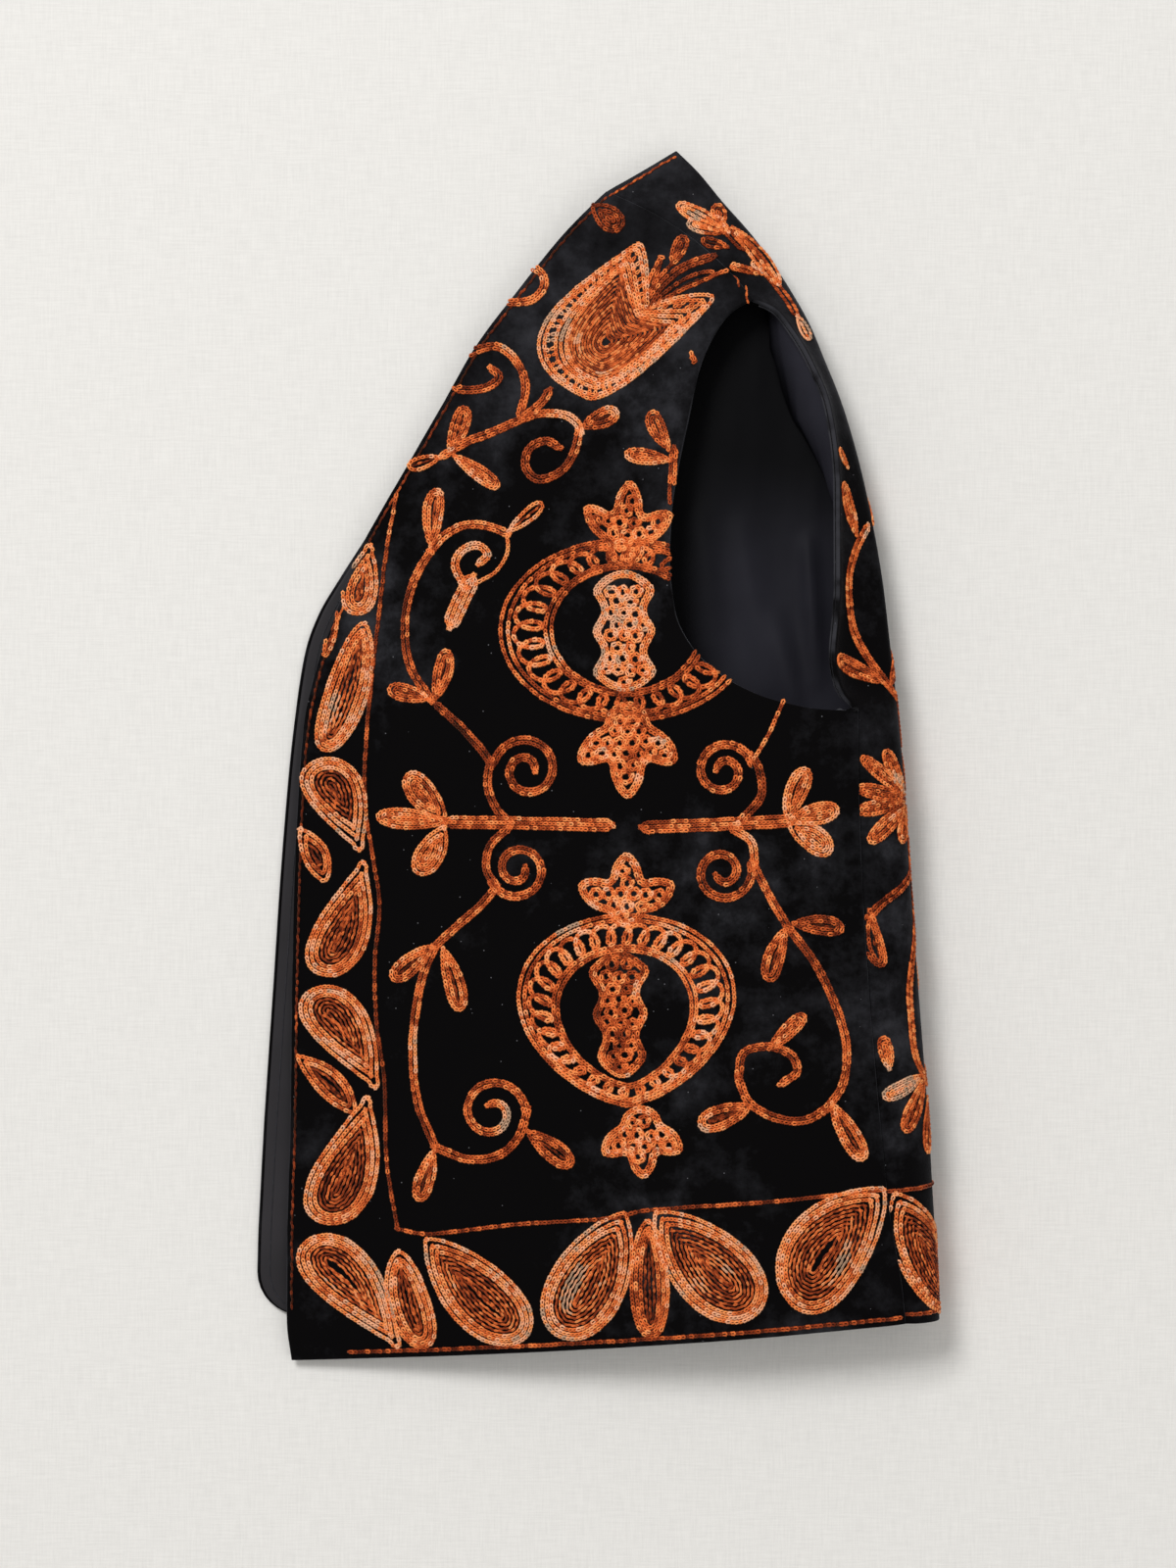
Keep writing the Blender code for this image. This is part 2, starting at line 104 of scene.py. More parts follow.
# The back, from the side seam, the armhole's rim and the shoulder seam to the fold at the
# right, and on to the hidden end of its lower run.
SIDE_ROWS = 7
SHOULDER_ROWS = 4
BACK_COLUMNS = ("lean", "fold_x", "fold_y", "fold_z", "end_x", "end_y")
BACK_SECTIONS = (
    (10.0, 172.3, -283.5, 21.0, -45.0, -288.0),
    (11.0, 171.2, -258.0, 21.5, -45.0, -262.0),
    (13.0, 169.2, -226.0, 22.0, -45.0, -228.0),
    (16.0, 167.0, -188.5, 22.5, -45.0, -188.5),
    (20.0, 161.3, -113.5, 23.0, -45.0, -113.5),
    (22.0, 156.8, -53.5, 23.0, -45.0, -53.5),
    (24.0, 153.6, -3.5, 23.0, -45.0, -3.5),
    (30.0, 151.0, 24.0, 22.5, -42.0, 22.5),
    (58.0, 149.7, 37.0, 22.0, -38.0, 35.0),
    (70.0, 147.6, 55.0, 21.5, -30.0, 52.0),
    (74.0, 143.8, 88.0, 21.0, -10.0, 86.0),
    (77.0, 135.0, 136.0, 20.0, 5.0, 135.0),
    (78.0, 123.8, 177.0, 19.0, 17.0, 172.0),
    (72.0, 114.2, 201.5, 18.5, 23.0, 190.0),
    (64.0, 107.2, 218.5, 18.0, 28.0, 203.0),
    (56.0, 98.4, 234.5, 17.5, 30.0, 213.0),
    (42.0, 91.2, 246.0, 17.0, 30.0, 223.0),
    (36.0, 78.2, 264.0, 16.0, 27.0, 240.0),
    (30.0, 62.6, 282.0, 14.5, 23.0, 257.0),
    (26.0, 50.6, 296.8, 13.0, 20.0, 271.0),
    (24.0, 39.8, 307.5, 12.2, 17.0, 283.0),
)
FIRST_SHOULDER = len(BACK_SECTIONS) - 1 - SHOULDER_ROWS
RIM_COLUMNS = ("rim_x", "rim_y", "rim_z")
RIM_POINTS = (
    (129.8, 22.5, 42.0),
    (120.6, 36.0, 41.0),
    (118.4, 52.0, 40.2),
    (121.0, 87.0, 39.5),
    (120.9, 136.0, 38.5),
    (116.5, 175.0, 37.0),
    (108.0, 197.0, 36.0),
    (98.5, 213.5, 35.0),
    (88.0, 226.0, 34.0),
    (77.3, 230.5, 33.0),
)

# The right front, face down: its front or neck edge and its side seam or armhole.
UNDER_COLUMNS = ("edge_x", "edge_y", "side_x", "side_y")
UNDER_SECTIONS = (
    (-173.3, -262.0, 143.5, -252.0),
    (-172.9, -245.0, 141.5, -238.0),
    (-171.8, -222.0, 138.0, -218.0),
    (-170.0, -188.5, 132.5, -186.0),
    (-165.0, -113.5, 125.0, -113.5),
    (-161.0, -53.5, 121.0, -53.5),
    (-156.3, 1.5, 118.0, -8.0),
    (-153.6, 24.0, 117.0, 14.0),
    (-152.0, 36.0, 98.0, 16.0),
    (-150.0, 48.0, 73.0, 22.0),
    (-147.6, 58.5, 51.0, 33.0),
    (-141.5, 74.0, 35.0, 48.0),
    (-132.0, 90.0, 27.0, 66.0),
    (-120.5, 108.0, 24.0, 90.0),
    (-109.0, 126.0, 25.0, 114.0),
    (-94.0, 148.5, 28.0, 138.0),
    (-78.5, 174.0, 33.0, 161.0),
    (-61.0, 203.0, 39.0, 187.0),
    (-39.0, 232.0, 46.5, 205.0),
    (-17.0, 258.0, 55.0, 216.0),
    (0.0, 277.0, 65.0, 222.5),
)
UNDER_CORNER_RADIUS = 22.0
UNDER_HEM_SIDE = (145.5, -274.0)

# Soft creases: a line from one point to another, how wide the trough is and how deep.
# A negative depth is a ridge.
CREASE_COLUMNS = ("x0", "y0", "x1", "y1", "width", "depth")
CREASES = (
    (-12.0, -300.0, -20.0, -196.0, 15.0, 1.6),
    (66.0, -300.0, 58.0, -214.0, 17.0, -1.1),
    (-96.0, -292.0, -88.0, -176.0, 16.0, 1.2),
    (88.0, 20.0, 62.0, -74.0, 13.0, 1.5),
    (-98.0, 118.0, -116.0, 20.0, 13.0, 1.4),
    (-52.0, 196.0, 34.0, 214.0, 11.0, 1.5),
    (96.0, -40.0, 104.0, -170.0, 12.0, 1.3),
    (20.0, 50.0, -8.0, -10.0, 8.0, 0.5),
    (-60.0, -120.0, -76.0, -186.0, 8.0, 0.5),
    (40.0, -196.0, 30.0, -262.0, 6.0, 0.6),
    (112.0, -190.0, 124.0, -262.0, 7.0, 0.6),
    (-30.0, 122.0, 20.0, 150.0, 7.0, 0.5),
)
BACK_CREASES = (
    (20.0, 288.0, 58.0, 279.0, 7.0, 1.6),
    (34.0, 297.0, 60.0, 283.0, 5.0, -1.0),
    (130.0, 30.0, 146.0, -60.0, 8.0, 1.2),
    (150.0, -150.0, 160.0, -260.0, 8.0, -1.2),
    (132.0, 60.0, 138.0, 130.0, 6.0, 0.8),
)

# Embroidery threads: how wide a row of each is, the step between rows, the length of a
# stitch and the radius of the thread.
THREAD_COLUMNS = ("width", "step", "stitch", "radius")
THREADS = {
    "band": (2.95, 2.35, 2.1, 0.55),
    "cord": (3.4, 2.5, 2.3, 0.74),
    "fine": (1.5, 1.95, 1.8, 0.34),
}
SEWING = (0.8, 1.0, 2.6, 0.16)

# Filled shapes: how pointed each end is (0.4 blunt, 1 pointed), the most rows of band
# stitch round the outside, and the thread that fills the middle.
STYLE_COLUMNS = ("start_power", "end_power", "band_rows", "fill")
STYLES = {
    "drop": (0.76, 0.48, 3, "fine"),
    "tear": (1.0, 0.46, 3, "fine"),
    "bean": (0.58, 0.44, 3, "fine"),
    "lens": (0.9, 0.8, 2, "fine"),
    "leaf": (0.75, 0.42, 2, "fine"),
    "petal": (0.75, 0.48, 6, "band"),
    "blade": (0.8, 0.8, 1, "fine"),
}

SHAPE_COLUMNS = ("style", "x0", "y0", "x1", "y1", "width", "bend", "shade")
# Drops along the front edge and the hem.
BORDER_SHAPES = (
    ("tear", -116.0, 110.5, -124.5, 72.0, 19.5, 0.0, 0.66),
    ("lens", -132.5, 76.0, -140.0, 49.0, 7.0, 0.0, 0.54),
    ("bean", -119.5, 69.0, -140.5, 2.5, 23.5, 2.5, 0.64),
    ("tear", -121.0, -49.0, -146.5, -1.5, 30.5, -4.0, 0.68),
    ("lens", -153.5, -35.0, -138.5, -65.5, 15.0, 2.0, 0.56),
    ("tear", -119.5, -51.5, -143.0, -111.5, 30.0, 3.5, 0.64),
    ("tear", -112.5, -170.0, -148.5, -118.5, 31.0, -4.0, 0.68),
    ("lens", -155.0, -151.5, -122.5, -183.0, 16.0, 2.0, 0.54),
    ("tear", -117.5, -171.5, -142.5, -238.0, 34.5, 4.0, 0.66),
    ("tear", -101.0, -302.0, -150.5, -246.5, 33.5, -4.0, 0.7),
    ("bean", -102.5, -251.5, -87.5, -302.0, 23.5, -2.0, 0.6),
    ("drop", -88.5, -245.0, -36.0, -296.5, 36.0, -2.0, 0.68),
    ("drop", 14.0, -231.5, -21.5, -296.0, 40.5, 1.0, 0.7),
    ("bean", 25.2, -236.0, 27.0, -297.0, 21.5, 0.0, 0.6),
    ("drop", 28.5, -231.5, 82.5, -284.0, 42.0, -1.0, 0.68),
    ("drop", 146.5, -219.5, 99.5, -281.5, 45.0, -5.0, 0.7),
)
BORDER_ROLL_SHAPES = (
    ("drop", 3.5, -220.5, 35.0, -283.5, 39.0, -2.0, 0.66),
    ("drop", 44.0, -222.0, 46.0, -282.0, 18.0, 0.0, 0.56),
    ("drop", 50.0, -221.0, 92.0, -281.0, 38.0, -4.0, 0.64),
)

# Leaves and petals of the scrolls.
SCROLL_SHAPES = (
    ("leaf", -47.0, 114.0, -27.5, 130.5, 8.5, 0.0, 0.66),
    ("leaf", -85.0, 106.0, -82.0, 138.0, 12.0, 1.0, 0.5),
    ("leaf", -85.0, 29.5, -108.0, 35.5, 10.5, 0.0, 0.46),
    ("leaf", -84.0, 28.0, -77.0, 56.0, 11.0, -1.0, 0.46),
    ("leaf", -83.5, -95.0, -106.0, -114.0, 12.0, 0.0, 0.46),
    ("leaf", -80.0, -96.0, -70.0, -130.0, 12.0, 1.0, 0.46),
    ("leaf", -83.5, -199.0, -92.0, -227.0, 11.5, 0.0, 0.5),
    ("leaf", -37.0, -190.0, -12.5, -208.5, 13.0, 0.0, 0.4),
    ("petal", -77.0, -33.0, -114.0, -30.0, 12.0, 0.0, 0.62),
    ("petal", -77.0, -32.0, -98.0, -7.5, 16.0, 1.0, 0.6),
    ("petal", -78.0, -34.0, -93.0, -60.0, 16.0, 1.0, 0.64),
    ("petal", 96.0, -32.5, 107.0, -4.5, 13.0, 1.0, 0.64),
    ("petal", 97.0, -32.0, 123.5, -26.0, 12.5, 0.0, 0.6),
    ("petal", 96.0, -33.5, 119.5, -49.0, 15.0, 1.0, 0.66),
    ("leaf", 98.0, -85.0, 126.0, -87.5, 11.5, 1.0, 0.46),
    ("leaf", 96.0, -86.0, 86.5, -115.0, 12.0, -1.0, 0.48),
    ("leaf", 86.0, -150.0, 106.0, -130.5, 9.5, 0.0, 0.5),
    ("leaf", 79.0, -177.5, 50.5, -188.0, 14.0, 0.0, 0.4),
    ("leaf", 118.0, -175.0, 136.0, -206.0, 12.5, 0.0, 0.54),
    ("leaf", -77.0, 154.5, -67.5, 180.0, 11.0, -1.0, 0.5),
    ("leaf", -75.0, 155.0, -50.0, 137.5, 9.5, 0.0, 0.5),
    ("leaf", -79.0, 153.5, -98.0, 148.0, 8.5, 0.0, 0.5),
    ("leaf", -9.5, 168.0, 11.0, 177.0, 11.5, 0.0, 0.42),
    ("leaf", 37.0, 156.0, 26.5, 177.5, 10.5, 1.0, 0.42),
    ("leaf", 38.0, 151.5, 13.0, 155.0, 9.5, 0.0, 0.46),
    ("drop", -4.0, 282.5, 13.0, 269.5, 14.0, 0.0, 0.26),
    ("blade", 22.5, 231.0, 33.0, 257.5, 5.5, 0.0, 0.34),
    ("leaf", 26.5, 229.5, 60.5, 247.5, 7.5, 2.5, 0.3),
    ("leaf", 37.0, 250.0, 44.5, 267.0, 9.0, 0.0, 0.38),
    ("blade", 46.5, 208.0, 50.5, 199.0, 4.0, 0.0, 0.46),
)

STEM_COLUMNS = ("rows", "shade", "points")
SCROLL_STEMS = (
    (2, 0.5, ((-85, 106), (-78, 113.5), (-68, 118.5), (-56, 118), (-47, 114.5))),
    (1, 0.62, ((-46.5, 113), (-46.5, 104), (-52, 95), (-60, 90))),
    (4, 0.74, ((-65, 90), (-70, 80), (-74.5, 69.5))),
    (2, 0.68, ((-68, 87), (-73, 98), (-69, 106), (-61, 108), (-56.5, 103.5), (-60, 99.5))),
    (2, 0.45, ((-85, 106), (-94, 90), (-98.5, 70), (-96.5, 48), (-85.5, 29.5))),
    (2, 0.36, ((-82.5, 27), (-70, 15.5), (-60, 4.5), (-54.5, -3))),
    (2, 0.42, ((-55, -2), (-56.5, -14), (-52, -26), (-45, -33))),
    (3, 0.52, ((-76, -33), (-40, -33.5), (5, -34.5))),
    (2, 0.45, ((-46, -36), (-55, -45), (-57, -57), (-52, -66))),
    (2, 0.45, ((-52, -66), (-60, -75.5), (-72, -86), (-83, -96))),
    (2, 0.47, ((-83, -96), (-90, -113), (-94.5, -143), (-92.5, -174), (-83, -199))),
    (2, 0.47, ((-83, -199), (-66, -205), (-51, -203), (-41, -194), (-36, -180))),
    (3, 0.5, ((24, -35.5), (60, -34.2), (97, -32.4))),
    (2, 0.44, ((72, -33), (83, -20), (82, -6), (78.5, 0.5))),
    (1, 0.5, ((79, -1), (87, 12), (94, 28))),
    (2, 0.44, ((68, -36), (78, -43), (80, -54))),
    (2, 0.44, ((79, -54), (87, -70), (97, -87))),
    (2, 0.46, ((97, -87), (110, -104), (120, -124), (126.5, -146), (125, -166), (116, -180))),
    (2, 0.46, ((118, -178), (106, -185), (91, -184), (77, -176), (71.5, -163))),
    (2, 0.46, ((71.5, -164), (74, -151), (86, -147.5), (98, -151.5), (101.5, -160), (94, -166))),
    (2, 0.45, ((-25, 187), (-29, 181), (-39, 173), (-54, 166), (-67, 161), (-79, 154))),
    (2, 0.48, ((-40, 174), (-37, 190), (-42, 202.5), (-51, 209.5), (-60, 208.5), (-72, 203))),
    (2, 0.48, ((-72, 188), (-63, 187.5), (-54.5, 190), (-50.5, 194.5), (-54, 198))),
    (2, 0.45, ((-39, 173), (-29, 175.5), (-18, 175), (-11, 171), (-9, 167))),
    (2, 0.45, ((-9, 168), (-13, 154), (-20.5, 145), (-31, 142), (-37, 148), (-35.5, 157),
               (-27, 161.5), (-20.5, 158.5))),
    (2, 0.5, ((-45, 232), (-34, 233.5), (-28, 239.5), (-28.5, 246.5), (-35, 251))),
    (2, 0.42, ((38.6, 157), (38, 146), (37.5, 131))),
    (1, 0.32, ((23.5, 231), (29, 242), (38, 252.5))),
    (2, 0.3, ((25, 230), (32, 240.5), (43, 250), (58, 255.5))),
    (1, 0.42, ((58, 245.5), (62, 247.5), (66, 248.5))),
)

CURL_COLUMNS = ("x", "y", "radius", "start_angle", "turns", "shade")
CURLS = (
    (-36.5, -6.5, 17.0, 165.0, -1.4, 0.42),
    (-41.0, -57.0, 15.0, 205.0, 1.4, 0.45),
    (-54.0, -181.0, 17.0, 4.0, 1.25, 0.44),
    (64.0, -7.0, 15.0, 15.0, 1.35, 0.42),
    (63.5, -58.5, 15.0, 15.0, -1.4, 0.42),
)

# The tulip and its heart, by rule: four corners each, from the left tip round by the foot and
# the right tip to the notch, and how far the side after each corner bulges, and where.
CORNER_COLUMNS = ("x", "y", "bulge", "lean")
TULIP_EDGE = (
    (21.5, 262.0, 28.0, 0.7),
    (-7.0, 184.0, 7.0, -0.5),
    (59.0, 235.0, 3.5, 0.0),
    (25.0, 228.0, 2.0, 0.5),
)
TULIP_HEART = (
    (12.5, 248.0, 15.5, 0.6),
    (-2.0, 194.0, 4.5, -0.4),
    (37.0, 221.0, -1.0, 0.0),
    (20.0, 225.0, -1.0, 0.0),
)
TULIP_CENTRE = (3.5, 211.5)
TULIP_SHADE = 0.72
TULIP_LOOPS = 30
TULIP_BAR_APART = 1.5
TULIP_FINE_STEP = 1.75

# Pomegranates: the ring and its hole, each as two ends and a width with how pointed the
# ends are, how many loops fill the ring, and its shade.
RINGS = (
    ((14, 18.5, 14, 112.5, 131), (14, 36.0, 14, 96.5, 74), (0.5, 0.5), 28, 0.46),
    ((15, -178, 14, -79.0, 113), (15.5, -165, 12, -99.0, 67), (0.68, 0.5), 30, 0.58),
)
# Seed columns, by rule: a foot, a top, a width at each, a number of bulges and how deep the
# waists between them are.
COLUMN_COLUMNS = ("foot_x", "foot_y", "top_x", "top_y", "foot_w", "top_w", "bulges", "dip", "shade")
SEED_COLUMNS = (
    (13.5, 33.0, 13.0, 96.0, 34.0, 33.0, 3, 0.3, 0.78),
    (12.5, -164.0, 10.0, -98.5, 25.0, 34.0, 3, 0.32, 0.42),
)
# Crowns, by rule: a middle, the way they point, the reach of the middle lobe and of the side
# ones, the angle between lobes and the radius of the foot.
CROWN_COLUMNS = ("x", "y", "facing", "middle", "sides", "apart", "foot", "shade")
CROWNS = (
    (14.0, 107.0, 86.0, 36.0, 31.0, 48.0, 10.0, 0.52),
    (15.0, 17.0, -90.0, 39.5, 33.0, 52.0, 12.0, 0.62),
    (14.5, -77.0, 90.0, 29.5, 28.5, 62.0, 10.0, 0.7),
    (22.0, -188.0, -88.0, 28.0, 25.5, 56.0, 11.0, 0.62),
)

# On the back's shoulder, as seen from above.
SHOULDER_SHAPES = (
    ("petal", 68.0, 267.5, 39.4, 282.5, 10.0, 0.0, 0.6),
    ("petal", 66.0, 267.5, 44.4, 273.0, 9.0, 0.0, 0.52),
    ("petal", 64.5, 270.0, 59.5, 283.0, 9.0, 0.0, 0.5),
    ("petal", 67.0, 271.5, 93.0, 240.0, 9.5, 1.5, 0.56),
    ("leaf", 67.5, 260.0, 51.9, 264.0, 7.0, 0.0, 0.3),
    ("leaf", 85.0, 246.5, 66.3, 251.0, 5.5, 0.0, 0.46),
    ("leaf", 85.0, 246.5, 77.5, 253.5, 5.0, 0.0, 0.46),
    ("petal", 100.6, 227.0, 108.0, 212.0, 7.0, 0.0, 0.42),
)
SHOULDER_STEMS = (
    (2, 0.5, ((84, 249), (90, 242), (96, 234), (100.5, 226.5))),
    (2, 0.45, ((61, 275), (67, 267), (73, 260.5))),
)
NECK_LINE = ((6.5, 286.6), (20.0, 294.9), (33.0, 302.9), (38.5, 306.0))
# Ends of thread that the shoulder seam caught.
SEAM_ENDS = (
    ((69.5, 245.0), (71.0, 243.6), (71.6, 241.2)),
    ((75.2, 239.5), (75.8, 236.5), (75.2, 234.2), (77.0, 231.8)),
)
# On the roll at the right: the distance round the cloth from the side seam, then y.
ROLL_SHAPES = (
    ("petal", 29.0, -20.0, 14.0, 4.5, 10.0, 0.0, 0.5),
    ("petal", 28.0, -20.0, 0.8, 0.5, 9.0, 0.0, 0.46),
    ("petal", 28.0, -21.0, -2.5, -15.5, 9.0, 0.0, 0.48),
    ("petal", 28.0, -22.0, -2.5, -27.5, 9.0, 0.0, 0.5),
    ("petal", 29.0, -23.0, 3.5, -43.5, 10.5, 0.0, 0.5),
    ("petal", 30.0, -23.0, 24.0, -44.5, 10.5, 0.0, 0.54),
    ("petal", 33.0, -18.0, 40.0, 9.0, 9.5, 0.0, 0.54),
    ("petal", 34.0, -20.0, 60.0, -3.0, 9.5, 0.0, 0.56),
    ("petal", 34.0, -21.0, 60.0, -30.0, 10.0, 0.0, 0.54),
    ("leaf", 3.0, -76.0, 8.0, -107.0, 12.0, -2.0, 0.42),
    ("leaf", 7.5, -160.0, 5.2, -141.0, 9.0, 0.0, 0.42),
    ("leaf", 29.0, -161.5, 2.0, -173.0, 9.5, 0.0, 0.44),
    ("leaf", 31.0, -162.0, 11.5, -191.0, 11.5, 0.0, 0.5),
    ("leaf", 34.0, -172.0, 27.0, -203.0, 11.5, 0.0, 0.56),
    ("leaf", 40.0, -100.0, 42.0, -122.0, 10.0, 0.0, 0.52),
    ("leaf", 40.0, -165.0, 58.0, -146.0, 10.0, 0.0, 0.5),
    ("leaf", 14.0, 112.0, 4.0, 141.0, 9.0, 0.0, 0.46),
    ("leaf", 28.0, 38.0, 1.5, 51.0, 11.0, 0.0, 0.48),
    ("leaf", 30.0, 36.0, 46.0, 58.0, 9.0, 0.0, 0.5),
    ("leaf", 24.0, 118.0, 36.0, 142.0, 9.0, 0.0, 0.5),
    ("leaf", 10.0, 147.0, 2.0, 158.0, 6.0, 0.0, 0.45),
)

ROLL_STEMS = (
    (2, 0.48, ((20, 118), (12, 104), (8, 88), (12, 68), (22, 50), (30, 34), (34, 8))),
    (2, 0.48, ((33, -42), (33, -56), (23, -66), (10, -74), (3.5, -80))),
    (2, 0.48, ((36, -46), (35, -78), (24.5, -112), (22.7, -131), (24, -153), (33, -166))),
    (2, 0.48, ((33, -164), (44, -156), (50, -164), (46, -180))),
)

# The single row that frames the front, from the neck edge to the hem and along it.
FRAME_LINE = (
    (-103, 134), (-108, 106), (-111.5, 76.5), (-115.5, 41.5), (-118.5, 6.5), (-119, -23.5),
    (-114.5, -53.5), (-111.5, -76), (-114, -105), (-113, -136), (-109, -166),
    (-108, -205), (-102.5, -240),
)
FRAME_HEM_LINE = (
    (-102.5, -240.5), (-85, -243), (-45, -238.5), (6, -235), (26, -231), (89.5, -226.5),
    (144, -220.5),
)
EDGE_STITCH_INSET = 6.0
EDGE_LINE_INSET = 2.2
HEM_LINE_INSET = 3.2
# How many grid points from the lower corner these two rows begin.
HEM_CORNER = 10


class WaistcoatSizes(bpy.types.PropertyGroup):
    """Sizes of the cloth and the stitches."""

    grid: bpy.props.FloatProperty(
        name="Cloth grid",
        description="Distance between the points of a velvet shell",
        default=0.003,
        unit="LENGTH",
    )
    pucker: bpy.props.FloatProperty(
        name="Pucker",
        description="Height of the soft unevenness of the velvet",
        default=0.00045,
        unit="LENGTH",
    )
    stitch_lift: bpy.props.FloatProperty(
        name="Stitch lift",
        description="How far the thread's middle lies above the cloth",
        default=0.0003,
        unit="LENGTH",
    )
    seed: bpy.props.IntProperty(
        name="Seed",
        description="Seed of the uneven stitches and thread colours",
        default=7,
    )


class WaistcoatColours(bpy.types.PropertyGroup):
    """Colours of the cloths and the thread."""

    velvet: bpy.props.FloatVectorProperty(
        name="Velvet",
        description="Colour of the velvet where the nap lies away from the light",
        subtype="COLOR",
        size=4,
        default=(0.0025, 0.0022, 0.0024, 1.0),
    )
    nap: bpy.props.FloatVectorProperty(
        name="Nap",
        description="Colour of the velvet where the nap catches the light",
        subtype="COLOR",
        size=4,
        default=(0.036, 0.036, 0.042, 1.0),
    )
    lining: bpy.props.FloatVectorProperty(
        name="Lining",
        description="Colour of the satin lining",
        subtype="COLOR",
        size=4,
        default=(0.0125, 0.0122, 0.0165, 1.0),
    )
    front_lining: bpy.props.FloatVectorProperty(
        name="Front lining",
        description="Colour of the satin lining of the right front",
        subtype="COLOR",
        size=4,
        default=(0.018, 0.0165, 0.0185, 1.0),
    )
    linen: bpy.props.FloatVectorProperty(
        name="Linen",
        description="Colour of the cloth under the garment",
        subtype="COLOR",
        size=4,
        default=(0.83, 0.815, 0.785, 1.0),
    )


def sizes():
    """The sizes that the sidebar shows."""
    return bpy.context.scene.waistcoat_sizes


def colours():
    """The colours that the sidebar shows."""
    return bpy.context.scene.waistcoat_colours


# The form of the cloth.


def slopes(values):
    """Slopes at the rows of a table for a curve that never overshoots them."""
    step = np.diff(values, axis=0)
    before, after = step[:-1], step[1:]
    same_way = before * after > 0
    total = np.where(same_way, before + after, 1.0)
    middle = np.where(same_way, 2 * before * after / total, 0.0)
    return np.vstack([step[:1], middle, step[-1:]])


def at_row(table, place):
    """A smooth value of every column at a place between the table's rows."""
    values = np.asarray(table, float)
    tangents = slopes(values)
    row = int(min(max(math.floor(place), 0), len(values) - 2))
    part = place - row
    cube, square = part**3, part**2
    return (
        (2 * cube - 3 * square + 1) * values[row]
        + (cube - 2 * square + part) * tangents[row]
        + (3 * square - 2 * cube) * values[row + 1]
        + (cube - square) * tangents[row + 1]
    )


def crease_depths(creases, points):
    """How far a table of creases lowers the cloth at each of some points."""
    depth = np.zeros(len(points))
    for x0, y0, x1, y1, width, deep in creases:
        along = np.array([x1 - x0, y1 - y0])
        reach = points[:, :2] - (x0, y0)
        share = np.clip(reach @ along / (along @ along), 0.0, 1.0)
        away = np.linalg.norm(reach - share[:, None] * along, axis=1) / width
        depth += deep * np.exp(-away * away) * np.sin(math.pi * (0.15 + 0.7 * share))
    return depth


def front_points(across, place):
    """Points on the left front's face: across is 0 at its front edge and 1 at its side."""
    across = np.asarray(across, float)
    row = dict(zip(FRONT_COLUMNS, at_row(FRONT_SECTIONS, place)))
    edge = np.array([row["front_x"], row["front_y"]])
    course = np.array([row["side_x"], row["side_y"]]) - edge
    normal = np.array([-course[1], course[0]]) / np.linalg.norm(course)
    bow = (row["bow"] * 4 * across * (1 - across))[:, None]
    spots = edge + course * across[:, None] + normal * bow
    share = np.clip((spots[:, 0] - edge[0]) / (row["crest_x"] - edge[0]), 0.0, 1.0)
    rise = np.sin(math.pi / 2 * share) ** RISE_POWER
    height = row["front_z"] + (row["crest_z"] - row["front_z"]) * rise
    height -= crease_depths(CREASES, spots) * np.sin(math.pi * across)
    return np.column_stack([spots, height])


def back_start(place):
    """Where the back's section begins: on the side seam, the rim or the shoulder seam."""
    if place <= SIDE_ROWS:
        return front_points([1.0], place)[0]
    if place <= FIRST_SHOULDER:
        return at_row(RIM_POINTS, place - SIDE_ROWS)
    share = 1.0 - (place - FIRST_SHOULDER) / SHOULDER_ROWS
    return front_points([share], len(FRONT_SECTIONS) - 1)[0]


def back_points(place, over, turn, under):
    """Points across the back: to the fold, round it, and along the lower run."""
    row = dict(zip(BACK_COLUMNS, at_row(BACK_SECTIONS, place)))
    start = back_start(place)
    fold = np.array([row["fold_x"], row["fold_y"], row["fold_z"]])
    end = np.array([row["end_x"], row["end_y"], LOW_LAYER])
    out = fold[:2] - start[:2]
    width = np.linalg.norm(out)
    out = np.append(out / width, 0.0)
    start = start + out * SEAM_GAP
    drop = start[2] - fold[2]
    lean = math.radians(row["lean"])
    pull = BEND_PULL * math.hypot(width, drop)
    leave = start + out * pull * math.cos(lean) - np.array([0, 0, pull * math.sin(lean)])
    arrive = fold + np.array([0, 0, BEND_PULL * drop])
    share = np.linspace(0, 1, over + 1)
    t = share[:, None]
    top = (
        start * (1 - t) ** 3 + 3 * leave * t * (1 - t) ** 2
        + 3 * arrive * t * t * (1 - t) + fold * t**3
    )
    top[:, 2] -= crease_depths(BACK_CREASES, top) * np.sin(math.pi * share)
    inward = end[:2] - fold[:2]
    inward = np.append(inward / np.linalg.norm(inward), 0.0)
    depth = fold[2] - LOW_LAYER
    angle = np.linspace(0, math.pi / 2, turn + 1)[1:, None]
    bend = fold + inward * depth * TURN_WIDTH * (1 - np.cos(angle))
    bend[:, 2] -= (depth * np.sin(angle))[:, 0]
    t = np.linspace(0, 1, under + 1)[1:, None]
    run = bend[-1] + (end - bend[-1]) * t
    return np.vstack([top, bend, run])


def places(table, first, last, columns, spacing):
    """Rows for a grid: every table row, with enough between them for the spacing."""
    values = np.asarray(table, float)
    found = []
    for row in range(first, last):
        length = max(
            np.linalg.norm(values[row + 1, list(pair)] - values[row, list(pair)])
            for pair in columns
        )
        count = max(1, round(length / spacing))
        found += [row + part / count for part in range(count)]
    return [*found, float(last)]


def normals_of(grid):
    """Unit normals of a grid of points, pointing out of the garment."""
    normals = np.cross(np.gradient(grid, axis=1), np.gradient(grid, axis=0))
    return normals / np.linalg.norm(normals, axis=2, keepdims=True)


